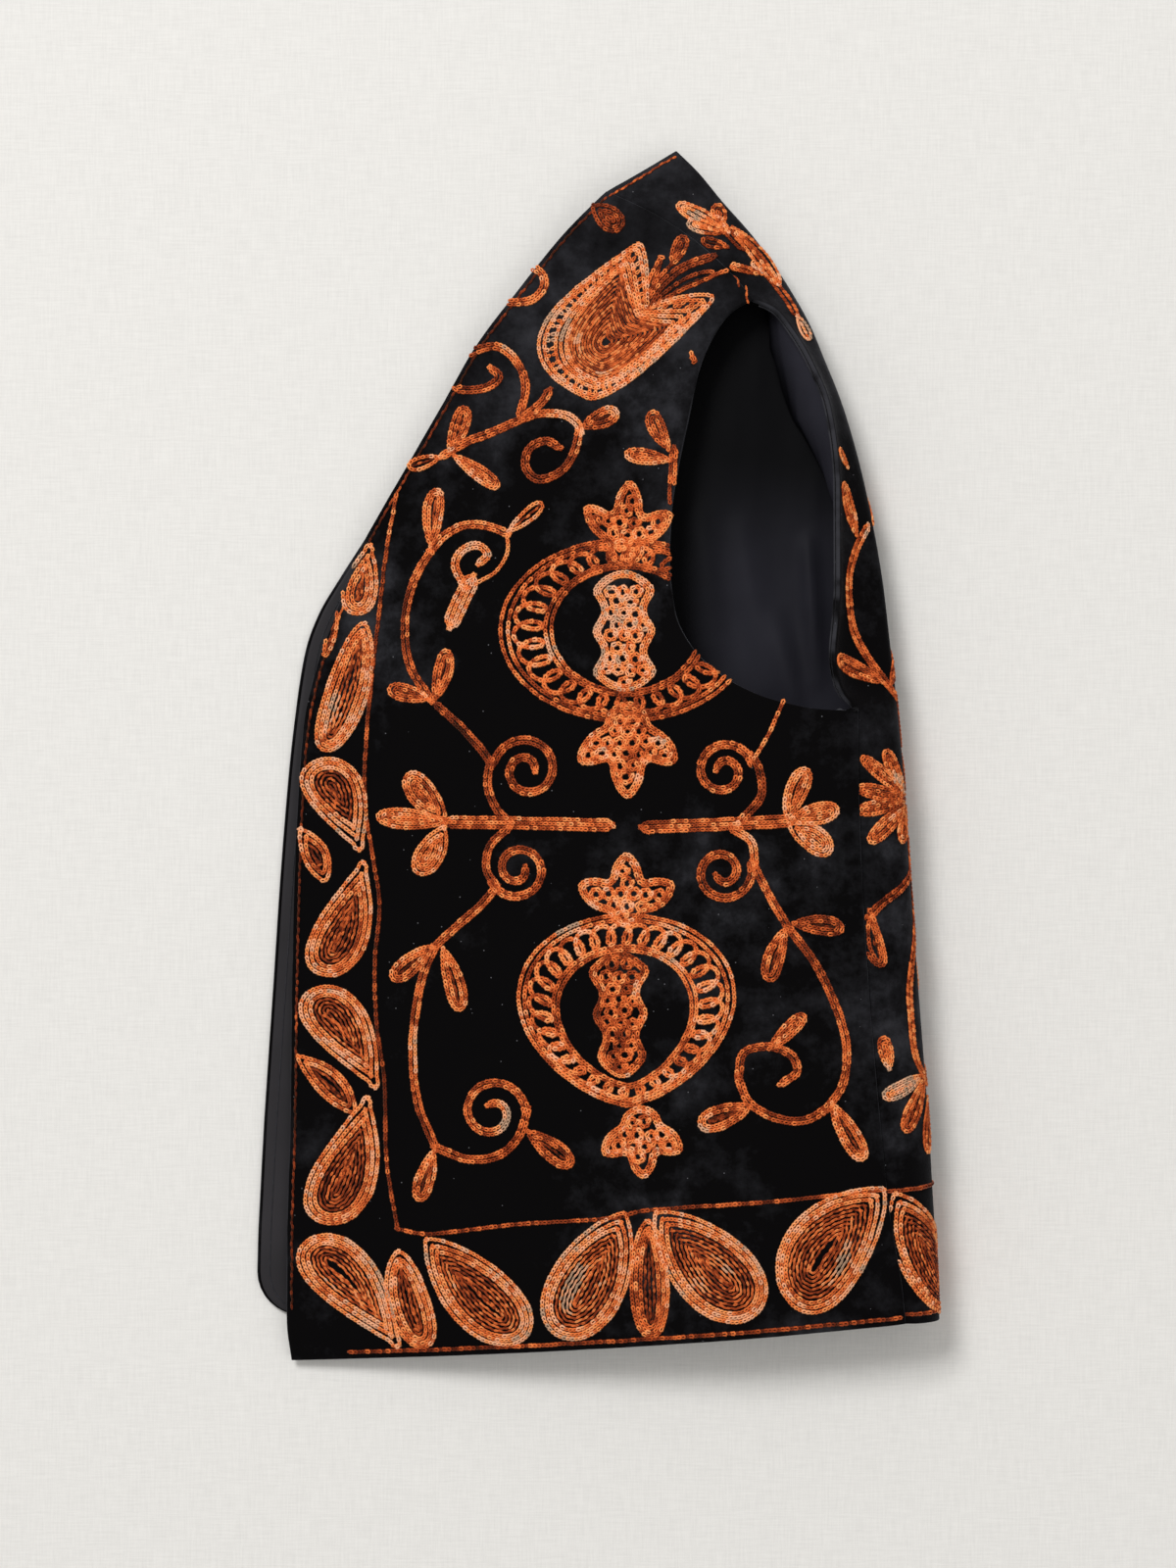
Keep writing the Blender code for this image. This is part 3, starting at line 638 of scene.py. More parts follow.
def puckered(grid, normals, height, size):
    """A grid moved along its normals by soft noise, less near its edges."""
    rows, columns = grid.shape[:2]
    shift = np.zeros((rows, columns))
    for i in range(rows):
        for j in range(columns):
            spot = Vector(grid[i, j]) / size
            shift[i, j] = noise.noise(spot) + 0.5 * noise.noise(spot * 2.3)
    return grid + normals * (shift * height)[..., None]


def rim_loop(rows, columns):
    """The grid's border, once round."""
    loop = [(0, j) for j in range(columns)]
    loop += [(i, columns - 1) for i in range(1, rows)]
    loop += [(rows - 1, j) for j in range(columns - 2, -1, -1)]
    loop += [(i, 0) for i in range(rows - 2, 0, -1)]
    return loop


def rim_direction(grid, i, j):
    """The way out of a grid at a border point."""
    rows, columns = grid.shape[:2]
    inner = grid[min(max(i, 1), rows - 2), min(max(j, 1), columns - 2)]
    way = grid[i, j] - inner
    return way / np.linalg.norm(way)


def add_mesh(name, points, faces, material):
    """A smooth-shaded mesh object from points in millimetres."""
    mesh = bpy.data.meshes.new(name)
    mesh.from_pydata([tuple(point) for point in np.asarray(points) * MM], [], faces)
    mesh.materials.append(material)
    mesh.update()
    mesh.shade_smooth()
    made = bpy.data.objects.new(name, mesh)
    bpy.context.scene.collection.objects.link(made)
    return made


def add_wall(name, grid, inward, start, thickness, material, bulge=RIM_BULGE):
    """A cloth wall with rounded edges, from start to start + thickness inside a grid."""
    outer = grid + inward * start
    inner = outer + inward * thickness
    rows, columns = outer.shape[:2]
    points = [*outer.reshape(-1, 3), *inner.reshape(-1, 3)]
    skin = rows * columns
    faces = []
    for i in range(rows - 1):
        for j in range(columns - 1):
            a = i * columns + j
            b, c, d = a + 1, a + columns + 1, a + columns
            faces.append((a, b, c, d))
            faces.append((d + skin, c + skin, b + skin, a + skin))
    loop = rim_loop(rows, columns)
    rings = [[i * columns + j for i, j in loop]]
    for step in range(1, RIM_STEPS + 1):
        angle = math.pi * step / (RIM_STEPS + 1)
        ring = []
        for i, j in loop:
            middle = (outer[i, j] + inner[i, j]) / 2
            half = (outer[i, j] - inner[i, j]) / 2
            way = rim_direction(outer, i, j)
            spot = middle + half * math.cos(angle) + way * thickness * bulge * math.sin(angle)
            ring.append(len(points))
            points.append(spot)
        rings.append(ring)
    rings.append([i * columns + j + skin for i, j in loop])
    for upper, lower in zip(rings, rings[1:]):
        for k in range(len(loop)):
            n = (k + 1) % len(loop)
            faces.append((upper[n], upper[k], lower[k], lower[n]))
    made = add_mesh(name, points, faces, material)
    # The rim gets a mask that the velvet paints lighter, for wear and a painted highlight.
    rim_wear_and_highlight = np.zeros(len(points))
    rim_wear_and_highlight[2 * skin:] = 1.0
    made.data.attributes.new("rim_wear_and_highlight", "FLOAT", "POINT").data.foreach_set("value", rim_wear_and_highlight)
    return made


def dip_seams(grid, side_rows, top_row, dip):
    """A grid with its cloth drawn down along the side seam and the shoulder seam."""
    grid = grid.copy()
    deep, reach = dip
    side = np.linalg.norm(grid - grid[:, :1], axis=2)
    for i in side_rows:
        grid[i, :, 2] -= deep * np.exp(-((side[i] / reach) ** 2))
    if top_row is not None:
        away = np.linalg.norm(grid - grid[top_row], axis=2)
        grid[:, :, 2] -= deep * np.exp(-((away / reach) ** 2))
    return grid


def left_front_grid(spacing):
    """The left front's face, drawn down along its two seams."""
    last = len(FRONT_SECTIONS) - 1
    rows = places(FRONT_SECTIONS, 0, last, ((0, 1), (3, 4)), spacing)
    columns = max(24, round(309.0 / spacing))
    across = np.linspace(0, 1, columns + 1)
    grid = np.array([front_points(across, place) for place in rows])
    grid = puckered(grid, normals_of(grid), sizes().pucker / MM, 24.0)
    side_rows = [i for i, place in enumerate(rows) if place <= SIDE_ROWS]
    flipped = dip_seams(grid[:, ::-1], side_rows, len(rows) - 1, FRONT_DIP)
    return flipped[:, ::-1]


def back_place_rows(spacing):
    """Places of the back's sections, from the hem to the neck."""
    side = places(FRONT_SECTIONS, 0, SIDE_ROWS, ((3, 4),), spacing)
    rest = places(BACK_SECTIONS, SIDE_ROWS, len(BACK_SECTIONS) - 1, ((1, 2),), spacing)
    return side[:-1] + rest


# The back's columns that can be seen from above, up to halfway round its turn.
BACK_TOP_COLUMNS = 24


def back_grid(spacing, over=18, turn=10, under=16):
    """The back's face, drawn down along its seams, and the place of each of its rows."""
    rows = back_place_rows(spacing)
    grid = np.array([back_points(place, over, turn, under) for place in rows])
    seam_rows = [i for i, p in enumerate(rows) if p <= SIDE_ROWS or p >= FIRST_SHOULDER]
    return dip_seams(grid, seam_rows, None, BACK_DIP), rows


def right_front_grid(spacing, inset):
    """The right front's flat form with its rounded lower corner."""
    table = np.asarray(UNDER_SECTIONS)
    centre = table[0, :2] + np.array([UNDER_CORNER_RADIUS, 0.0])
    hem_side = np.array(UNDER_HEM_SIDE)
    steps = max(5, round(UNDER_CORNER_RADIUS * 1.5 / spacing))
    sections = []
    for step in range(steps):
        share = step / steps
        angle = math.pi / 2 * (1 - share)
        turn = np.array([-math.cos(angle), -math.sin(angle)])
        side = hem_side + (table[0, 2:] - hem_side) * share
        sections.append((centre + turn * UNDER_CORNER_RADIUS, side))
    for place in places(UNDER_SECTIONS, 0, len(table) - 1, ((0, 1),), spacing):
        row = at_row(UNDER_SECTIONS, place)
        sections.append((row[:2], row[2:]))
    shares = np.concatenate([[0.0, 0.006, 0.012, 0.02, 0.03], np.linspace(0.05, 1, 40)])
    grid = []
    for edge, side in sections:
        course = (side - edge) / np.linalg.norm(side - edge)
        first, final = edge + course * inset, side - course * inset
        grid.append([first + (final - first) * share for share in shares])
    return np.array(grid)


# Finishes.


class Nodes:
    """A short way to add and join the nodes of one tree."""

    def __init__(self, tree):
        self.tree = tree

    def add(self, kind, **inputs):
        """A node of one kind, with its settings and then its sockets set by name."""
        made = self.tree.nodes.new(kind)
        for name, value in inputs.items():
            if hasattr(made, name):
                setattr(made, name, value)
            else:
                self.feed(made, name.replace("_", " "), value)
        return made

    def feed(self, node, name, value):
        """Sets a socket, or joins it to an output."""
        socket = node.inputs[name]
        if isinstance(value, bpy.types.NodeSocket):
            self.tree.links.new(value, socket)
        else:
            socket.default_value = value


def new_material(name):
    """A material with its node helper, its Principled shader and Object coordinates."""
    made = bpy.data.materials.new(name)
    made.use_nodes = True
    nodes = Nodes(made.node_tree)
    shader = made.node_tree.nodes["Principled BSDF"]
    coordinates = nodes.add("ShaderNodeTexCoord").outputs["Object"]
    return made, nodes, shader, coordinates


def noise_out(nodes, coordinates, scale, detail=3.0, roughness=0.5, distortion=0.0):
    """The value of a noise texture of one scale, in features a metre."""
    made = nodes.add(
        "ShaderNodeTexNoise",
        Vector=coordinates,
        Scale=scale,
        Detail=detail,
        Roughness=roughness,
        Distortion=distortion,
    )
    return made.outputs["Fac"]


def ramp_out(nodes, value, stops):
    """A colour ramp over (place, colour) stops."""
    made = nodes.add("ShaderNodeValToRGB", Fac=value)
    elements = made.color_ramp.elements
    while len(elements) < len(stops):
        elements.new(1.0)
    for element, (place, colour) in zip(elements, stops):
        element.position = place
        element.color = colour
    return made.outputs["Color"]


def bump(nodes, shader, height, distance, strength=1.0, below=None):
    """A bump of some height in metres under a shader, over another bump if given."""
    made = nodes.add("ShaderNodeBump", Height=height, Strength=strength, Distance=distance)
    if below is not None:
        nodes.feed(made, "Normal", below)
    nodes.feed(shader, "Normal", made.outputs["Normal"])
    return made.outputs["Normal"]


def blended(nodes, share, first, second):
    """A colour between two, each a colour or an output."""
    made = nodes.add("ShaderNodeMix", data_type="RGBA")
    by_name = {socket.identifier: socket for socket in made.inputs}
    for name, value in (("Factor_Float", share), ("A_Color", first), ("B_Color", second)):
        if isinstance(value, bpy.types.NodeSocket):
            nodes.tree.links.new(value, by_name[name])
        else:
            by_name[name].default_value = value
    return next(out for out in made.outputs if out.identifier == "Result_Color")


def times(nodes, first, second):
    """The product of two outputs."""
    made = nodes.add("ShaderNodeMath", operation="MULTIPLY")
    nodes.tree.links.new(first, made.inputs[0])
    nodes.tree.links.new(second, made.inputs[1])
    return made.outputs[0]


LINT = (0.12, 0.12, 0.13, 1.0)
# Velvet rims are painted lighter: partly wear, partly a painted highlight along the edge.
WORN_EDGE_AND_HIGHLIGHT = (0.036, 0.036, 0.042, 1.0)
# Painted sheen: the velvet is painted lighter towards the shoulder, from where this begins to where
# it is lightest.
SHOULDER_SHEEN_FROM, SHOULDER_SHEEN_TO = 0.1, 0.27
SHOULDER_SHEEN = 0.16


def velvet_material():
    """Black velvet: painted sheen in clouds over the nap and lighter towards the shoulder, edges
    painted lighter for wear and a painted highlight, specks of lint and a faint sheen.
    """
    made, nodes, shader, place = new_material("black_velvet")
    patches = noise_out(nodes, place, 8.0, 1.0, 0.5)
    clouds = noise_out(nodes, place, 34.0, 7.0, 0.68)
    # Painted sheen: lighter clouds in the nap, with more towards the shoulder.
    painted_nap_sheen = nodes.add("ShaderNodeMath", operation="MULTIPLY_ADD")
    length = nodes.add("ShaderNodeSeparateXYZ", Vector=place).outputs["Y"]
    nodes.tree.links.new(share_between(nodes, length, SHOULDER_SHEEN_FROM, SHOULDER_SHEEN_TO), painted_nap_sheen.inputs[0])
    painted_nap_sheen.inputs[1].default_value = SHOULDER_SHEEN
    nodes.tree.links.new(times(nodes, patches, clouds), painted_nap_sheen.inputs[2])
    mixed = painted_nap_sheen.outputs[0]
    dark, light = tuple(colours().velvet), tuple(colours().nap)
    middle = tuple((4 * a + b) / 5 for a, b in zip(dark, light))
    colour = ramp_out(nodes, mixed, ((0.275, dark), (0.35, middle), (0.5, light)))
    rim_wear_and_highlight = nodes.add("ShaderNodeAttribute", attribute_name="rim_wear_and_highlight").outputs["Fac"]
    wear_and_highlight_patches = share_between(nodes, noise_out(nodes, place, 60.0, 2.0), 0.35, 0.6)
    colour = blended(nodes, times(nodes, rim_wear_and_highlight, wear_and_highlight_patches), colour, WORN_EDGE_AND_HIGHLIGHT)
    specks = nodes.add("ShaderNodeTexVoronoi", Vector=place, Scale=125.0).outputs["Distance"]
    colour = blended(nodes, share_between(nodes, specks, 0.045, 0.03), colour, LINT)
    nodes.feed(shader, "Base Color", colour)
    shader.inputs["Roughness"].default_value = 0.92
    shader.inputs["Specular IOR Level"].default_value = 0.03
    shader.inputs["Sheen Weight"].default_value = 0.15
    shader.inputs["Sheen Roughness"].default_value = 0.35
    shader.inputs["Sheen Tint"].default_value = (0.78, 0.78, 0.86, 1.0)
    soft = bump(nodes, shader, clouds, 0.0006)
    pile = noise_out(nodes, place, 1500.0, 2.0)
    bump(nodes, shader, pile, 0.00025, 0.8, soft)
    return made


def satin(name, base, gloss, painted_shading=None):
    """Satin of one colour, with fine twill, long soft ripples and painted shading if given."""
    made, nodes, shader, place = new_material(name)
    tone = noise_out(nodes, place, 14.0, 3.0, 0.5)
    lighter = tuple(value * 1.7 for value in base[:3]) + (1.0,)
    colour = ramp_out(nodes, tone, ((0.35, base), (0.7, lighter)))
    # Painted shading: the colour is scaled darker where shade is painted and lighter where a
    # highlight is painted.
    if painted_shading is not None:
        shaded = nodes.add("ShaderNodeVectorMath", operation="SCALE")
        nodes.tree.links.new(colour, shaded.inputs[0])
        nodes.feed(shaded, "Scale", painted_shading(nodes, place))
        colour = shaded.outputs["Vector"]
    nodes.feed(shader, "Base Color", colour)
    shader.inputs["Roughness"].default_value = 0.5
    shader.inputs["Specular IOR Level"].default_value = gloss
    turned = nodes.add("ShaderNodeMapping", Vector=place)
    turned.inputs["Rotation"].default_value = (0.0, 0.0, math.radians(38))
    twill = nodes.add(
        "ShaderNodeTexWave", Vector=turned.outputs["Vector"], Scale=480.0, Distortion=0.6
    )
    ripple = nodes.add("ShaderNodeMapping", Vector=place)
    ripple.inputs["Scale"].default_value = (30.0, 9.0, 30.0)
    waves = noise_out(nodes, ripple.outputs["Vector"], 1.0, 2.0)
    soft = bump(nodes, shader, waves, 0.0025)
    bump(nodes, shader, twill.outputs["Fac"], 0.00006, 0.6, soft)
    return made


def share_between(nodes, value, start, end):
    """A share that goes from 0 to 1 as a value goes from start to end."""
    made = nodes.add("ShaderNodeMapRange", Value=value, interpolation_type="SMOOTHSTEP")
    made.inputs["From Min"].default_value = start
    made.inputs["From Max"].default_value = end
    return made.outputs["Result"]


# Painted shade and highlight of the inner lining: it is painted darkest under the shoulder and near
# the front's armhole, and painted lightest on the folds under the rim.
PAINTED_HIGHLIGHT_HEIGHTS = (0.016, 0.03)
PAINTED_SHADE_LENGTHS = (0.155, 0.085)
PAINTED_SHADE_SIDES = (0.04, 0.075)
DEEPEST_PAINTED_SHADE = 0.1
PAINTED_HIGHLIGHT_GAIN = 1.25


def painted_lining_shading(nodes, place):
    """The painted shade and highlight of the inner lining: how much of its colour it shows at each
    point.
    """
    axes = nodes.add("ShaderNodeSeparateXYZ", Vector=place).outputs
    low = share_between(nodes, axes["Y"], *PAINTED_SHADE_LENGTHS)
    side = share_between(nodes, axes["X"], *PAINTED_SHADE_SIDES)
    painted_lit_part = nodes.add("ShaderNodeMapRange", Value=times(nodes, low, side))
    painted_lit_part.inputs["To Min"].default_value = DEEPEST_PAINTED_SHADE
    high = nodes.add(
        "ShaderNodeMath", operation="MULTIPLY_ADD",
    )
    # Painted highlight: the lining is painted lighter where it rises towards the rim.
    nodes.tree.links.new(share_between(nodes, axes["Z"], *PAINTED_HIGHLIGHT_HEIGHTS), high.inputs[0])
    high.inputs[1].default_value = PAINTED_HIGHLIGHT_GAIN
    nodes.tree.links.new(painted_lit_part.outputs["Result"], high.inputs[2])
    return high.outputs[0]


def lining_material():
    """Blue-black satin of the back, with painted shade deep inside and a painted highlight on the
    high folds.
    """
    return satin("blue_black_satin", tuple(colours().lining), 0.05, painted_lining_shading)


def front_lining_material():
    """Black satin of the right front."""
    return satin("black_satin", tuple(colours().front_lining), 0.12)


def thread_material():
    """Variegated embroidery thread, its shade carried by each stitch; a fine speckle lightens and
    darkens it, partly uneven dye and partly painted glints.
    """
    made, nodes, shader, place = new_material("orange_thread")
    shade = nodes.add("ShaderNodeAttribute", attribute_name="shade").outputs["Fac"]
    # Fine speckle: uneven dye together with painted glints on the strands.
    speckle_and_glint = noise_out(nodes, place, 420.0, 2.0)
    drift = noise_out(nodes, place, 30.0, 2.0)
    total = nodes.add("ShaderNodeMath", operation="MULTIPLY_ADD")
    nodes.tree.links.new(speckle_and_glint, total.inputs[0])
    total.inputs[1].default_value = 0.22
    nodes.tree.links.new(shade, total.inputs[2])
    lifted = nodes.add("ShaderNodeMath", operation="MULTIPLY_ADD")
    nodes.tree.links.new(drift, lifted.inputs[0])
    lifted.inputs[1].default_value = 0.2
    nodes.tree.links.new(total.outputs[0], lifted.inputs[2])
    shifted = nodes.add("ShaderNodeMath", operation="SUBTRACT")
    nodes.tree.links.new(lifted.outputs[0], shifted.inputs[0])
    shifted.inputs[1].default_value = 0.21
    stops = (
        (0.0, (0.035, 0.004, 0.001, 1.0)),
        (0.2, (0.14, 0.014, 0.003, 1.0)),
        (0.4, (0.42, 0.062, 0.013, 1.0)),
        (0.58, (0.9, 0.2, 0.045, 1.0)),
        (0.72, (1.0, 0.36, 0.11, 1.0)),
        (0.86, (1.0, 0.48, 0.27, 1.0)),
        (0.94, (0.82, 0.44, 0.26, 1.0)),
        (1.0, (0.5, 0.32, 0.21, 1.0)),
    )
    nodes.feed(shader, "Base Color", ramp_out(nodes, shifted.outputs[0], stops))
    shader.inputs["Roughness"].default_value = 0.45
    shader.inputs["Specular IOR Level"].default_value = 0.25
    shader.inputs["Specular Tint"].default_value = (1.0, 0.62, 0.4, 1.0)
    shader.inputs["Sheen Weight"].default_value = 0.12
    shader.inputs["Sheen Roughness"].default_value = 0.4
    shader.inputs["Sheen Tint"].default_value = (1.0, 0.62, 0.4, 1.0)
    strands = noise_out(nodes, place, 2600.0, 1.0)
    bump(nodes, shader, strands, 0.00012, 0.7)
    return made


def sewing_material():
    """Dull black sewing thread."""
    made, nodes, shader, place = new_material("black_sewing_thread")
    tone = noise_out(nodes, place, 300.0, 2.0)
    stops = ((0.3, (0.012, 0.012, 0.016, 1.0)), (0.7, (0.03, 0.03, 0.038, 1.0)))
    nodes.feed(shader, "Base Color", ramp_out(nodes, tone, stops))
    shader.inputs["Roughness"].default_value = 0.6
    bump(nodes, shader, noise_out(nodes, place, 4000.0, 1.0), 0.0001, 0.5)
    return made


def linen_material():
    """Off-white linen: an uneven plain weave with thicker threads here and there."""
    made, nodes, shader, place = new_material("off_white_linen")
    heights = []
    for scale, wide in (((1.0, 16.0, 1.0), "BANDS"), ((16.0, 1.0, 1.0), "BANDS")):
        streaks = nodes.add("ShaderNodeMapping", Vector=place)
        streaks.inputs["Scale"].default_value = scale
        heights.append(noise_out(nodes, streaks.outputs["Vector"], 62.0, 4.0, 0.7))
    total = nodes.add("ShaderNodeMath", operation="ADD")
    nodes.tree.links.new(heights[0], total.inputs[0])
    nodes.tree.links.new(heights[1], total.inputs[1])
    half = nodes.add("ShaderNodeMath", operation="MULTIPLY")
    nodes.tree.links.new(total.outputs[0], half.inputs[0])
    half.inputs[1].default_value = 0.5
    base = tuple(colours().linen)
    shaded = tuple(value * 0.9 for value in base[:3]) + (1.0,)
    tone = ramp_out(nodes, half.outputs[0], ((0.36, shaded), (0.6, base)))
    nodes.feed(shader, "Base Color", tone)
    shader.inputs["Roughness"].default_value = 0.9
    shader.inputs["Sheen Weight"].default_value = 0.1
    bump(nodes, shader, half.outputs[0], 0.0005, 0.5)
    return made


FINISHES = {
    "velvet": velvet_material,
    "lining": lining_material,
    "front_lining": front_lining_material,
    "thread": thread_material,
    "sewing": sewing_material,
    "linen": linen_material,
}
made_finishes = {}


def finish_of(name):
    """One of the scene's finishes, made the first time that it is asked for."""
    if name not in made_finishes:
        made_finishes[name] = FINISHES[name]()
    return made_finishes[name]


# Embroidery patterns: flat rows of stitches, each a dictionary of points, shade and thread.


def row_of(points, shade, thread="band", closed=False):
    """One row of chain stitch."""
    points = np.asarray(points, float)
    if closed:
        points = np.vstack([points, points[:1]])
    return {"points": points, "shade": shade, "thread": thread}


def smooth(points, steps=8, closed=False):
    """A smooth curve through a few points."""
    points = np.asarray(points, float)
    if closed:
        padded = np.vstack([points[-1:], points, points[:2]])
    else:
        padded = np.vstack([2 * points[0] - points[1], points, 2 * points[-1] - points[-2]])
    found = []
    for a, b, c, d in zip(padded, padded[1:], padded[2:], padded[3:]):
        for t in np.linspace(0, 1, steps, endpoint=False):
            found.append(
                0.5 * (
                    2 * b + (c - a) * t + (2 * a - 5 * b + 4 * c - d) * t * t
                    + (3 * b - a - 3 * c + d) * t**3
                )
            )
    return np.array(found) if closed else np.vstack([found, points[-1:]])


def directions(points):
    """Unit directions along a curve."""
    ahead = np.gradient(points, axis=0)
    return ahead / np.maximum(np.linalg.norm(ahead, axis=1, keepdims=True), 1e-9)


def beside(points, distance):
    """A curve moved sideways by a distance."""
    ahead = directions(points)
    return points + np.column_stack([-ahead[:, 1], ahead[:, 0]]) * distance


# The narrow end of a drop is round, of this radius.
TIP_RADIUS = 3.6


def outline(shape, powers, inset=0.0, count=56):
    """A closed shape from its start to its end, set in from its full size, or None."""
    start, far = np.array(shape[:2], float), np.array(shape[2:4], float)
    width = shape[4]
    bend = shape[5] if len(shape) > 5 else 0.0
    length = np.linalg.norm(far - start)
    ahead = (far - start) / length
    side = np.array([-ahead[1], ahead[0]])
    low, high = (inset * (1 + 2.4 * max(0.0, power - 0.5)) for power in powers)
    tip = max(0.0, min(TIP_RADIUS, width / 6) - inset)
    low -= 0.5 * tip
    span, across = length - low - high, width / 2 - inset
    if span < 2.0 or across < 0.5:
        return None
    turn = np.linspace(0, 2 * math.pi, count, endpoint=False)
    share = (1 - np.cos(turn)) / 2
    p, q = powers
    peak = p / (p + q)
    swell = share**p * (1 - share) ** q / (peak**p * (1 - peak) ** q)
    end = np.minimum(span * share, tip)
    half = np.maximum(across * swell, np.sqrt(np.maximum(2 * tip * end - end**2, 0.0)))
    offset = np.where(share < 0.5, half, across * swell) * np.sign(np.sin(turn))
    along = low + span * share
    curve = 4 * bend * (along / length) * (1 - along / length)
    return start + ahead * along[:, None] + side * (offset + curve)[:, None]


BAND_TONES = (0.07, 0.03, -0.03, -0.04, -0.08, -0.04)
FINE_TONE = -0.26


def spine(shape, inset, shade, thread):
    """A single row down the middle of a shape that its other rows left open."""
    start, end = np.array(shape[:2]), np.array(shape[2:4])
    ahead = (end - start) / np.linalg.norm(end - start)
    first, last = start + ahead * inset * 1.7, end - ahead * inset
    middle = (first + last) / 2 + np.array([-ahead[1], ahead[0]]) * shape[5] * 0.7
    if (last - first) @ ahead < 3.0:
        return []
    return [row_of(smooth([first, middle, last]), shade, thread)]


def filled_shape(style, x0, y0, x1, y1, width, bend, shade):
    """Rows of stitches that fill a drop, leaf or petal from the outside in."""
    start_power, end_power, band_rows, fill = STYLES[style]
    shape, powers = (x0, y0, x1, y1, width, bend), (start_power, end_power)
    band_width, band_step = THREADS["band"][:2]
    rows = []
    inset = band_width / 2
    for tone in BAND_TONES[:band_rows]:
        points = outline(shape, powers, inset)
        if points is None:
            break
        rows.append(row_of(points, shade + tone, "band", True))
        inset += band_step
    if fill == "band" and inset < width / 2 + 0.9:
        rows += spine(shape, inset, shade - 0.06, "band")
    while fill == "fine":
        points = outline(shape, powers, inset)
        if points is None:
            return rows + spine(shape, inset, shade + FINE_TONE, "fine")
        rows.append(row_of(points, shade + FINE_TONE, "fine", True))
        inset += THREADS["fine"][1]
    return rows


def stem(count, shade, points):
    """Rows of stitches side by side along a smooth curve, closed round at both ends."""
    middle = smooth(points)
    step = THREADS["band"][1]
    first, last = directions(middle)[[0, -1]]
    rows = []
    reach = (count - 1) / 2 * step
    while reach > 0.3 * step:
        for side in (reach, -reach):
            edge = beside(middle, side)
            capped = np.vstack([middle[0] - first * reach, edge, middle[-1] + last * reach])
            rows.append(row_of(capped, shade - 0.04 * (side < 0)))
        reach -= step
    if count % 2:
        rows.append(row_of(middle, shade))
    return rows


def curl(x, y, radius, start_angle, turns, shade):
    """Two rows that wind in to a curl."""
    share = np.linspace(0, 1, 60)
    angle = math.radians(start_angle) + share * turns * 2 * math.pi
    reach = radius * (1 - 0.74 * share**1.1)
    path = np.column_stack([x + reach * np.cos(angle), y + reach * np.sin(angle)])
    half = THREADS["band"][1] / 2
    tip = path[-1] + directions(path)[-1] * half * 1.6
    return [
        row_of(np.vstack([beside(path, side), tip]), shade - 0.05 * (side < 0))
        for side in (half, -half)
    ]


def at_shares(ring, shares):
    """Points of a closed ring at shares of its length."""
    ring = np.vstack([ring, ring[:1]])
    length = np.append(0, np.cumsum(np.linalg.norm(np.diff(ring, axis=0), axis=1)))
    at = np.mod(shares, 1.0) * length[-1]
    return np.column_stack([np.interp(at, length, ring[:, k]) for k in (0, 1)])


LOOP_STEPS = 16
LOOP_LEAN = 0.42


def coil_between(outer, inner, low, high, count, shade):
    """A coil of loops round a ring, from one share of its width to another."""
    phase = np.linspace(0, 2 * math.pi * count, count * LOOP_STEPS)
    shares = (phase / (2 * math.pi) + LOOP_LEAN * np.cos(phase)) / count
    depth = (low + (high - low) * (0.5 + 0.5 * np.sin(phase)))[:, None]
    spots = at_shares(outer, shares) * (1 - depth) + at_shares(inner, shares) * depth
    return row_of(spots, shade, "cord")


RING_ROWS = (0.02, 0.16, 0.86, 0.97)
RING_LOOPS = (0.26, 0.8)


def banded_ring(outer, inner, shares, loops, count, shade):
    """A ring with rows along both edges and a coil of loops between them."""
    rows = [
        row_of(outer * (1 - share) + inner * share, shade - 0.05 * (share > 0.5), "band", True)
        for share in shares
    ]
    rows.append(coil_between(outer, inner, *loops, count, shade + 0.05))
    return rows


OPEN_ROWS = ((1.4, 0.04), (3.5, -0.03))
OPEN_EDGE = 4.6
OPEN_RING = 2.5
OPEN_APART = 6.4
OPEN_UNEVEN = 1.5


def set_in(loop, distance):
    """A closed loop that runs round by the left, moved inwards."""
    ahead = np.roll(loop, -1, axis=0) - np.roll(loop, 1, axis=0)
    ahead /= np.linalg.norm(ahead, axis=1, keepdims=True)
    return loop + np.column_stack([-ahead[:, 1], ahead[:, 0]]) * distance


def is_inside(loop, spot, margin):
    """Whether a spot is inside a closed loop and at least a margin from it."""
    if np.linalg.norm(loop - spot, axis=1).min() < margin:
        return False
    ahead = np.roll(loop, -1, axis=0)
    crossing = (loop[:, 1] > spot[1]) != (ahead[:, 1] > spot[1])
    run = (ahead - loop)[crossing]
    at = loop[crossing, 0] + (spot[1] - loop[crossing, 1]) * run[:, 0] / run[:, 1]
    return np.count_nonzero(at > spot[0]) % 2 == 1


def softened(loop):
    """A closed loop with its corners rounded a little."""
    for _ in range(2):
        loop = (np.roll(loop, 1, axis=0) + 2 * loop + np.roll(loop, -1, axis=0)) / 4
    return loop


LOOP_POINTS = 112
COLUMN_BLUNT = 8


def seed_column(foot_x, foot_y, top_x, top_y, foot_w, top_w, bulges, dip):
    """A column with bulges and waists and round ends, from its top round by the left."""
    foot, top = np.array([foot_x, foot_y]), np.array([top_x, top_y])
    along = 0.5 + 0.5 * np.cos(np.linspace(0, math.pi, LOOP_POINTS // 2, endpoint=False))
    waists = 1 - dip * (0.5 + 0.5 * np.cos(2 * math.pi * bulges * along))
    ends = np.sqrt(1 - np.abs(2 * along - 1) ** COLUMN_BLUNT)
    half = (foot_w + (top_w - foot_w) * along) / 2 * waists * ends
    across = np.array([foot_y - top_y, top_x - foot_x]) / np.linalg.norm(top - foot)
    middle = foot + (top - foot) * along[:, None]
    left, right = middle + across * half[:, None], middle - across * half[:, None]
    return softened(np.vstack([left, right[:0:-1]]))


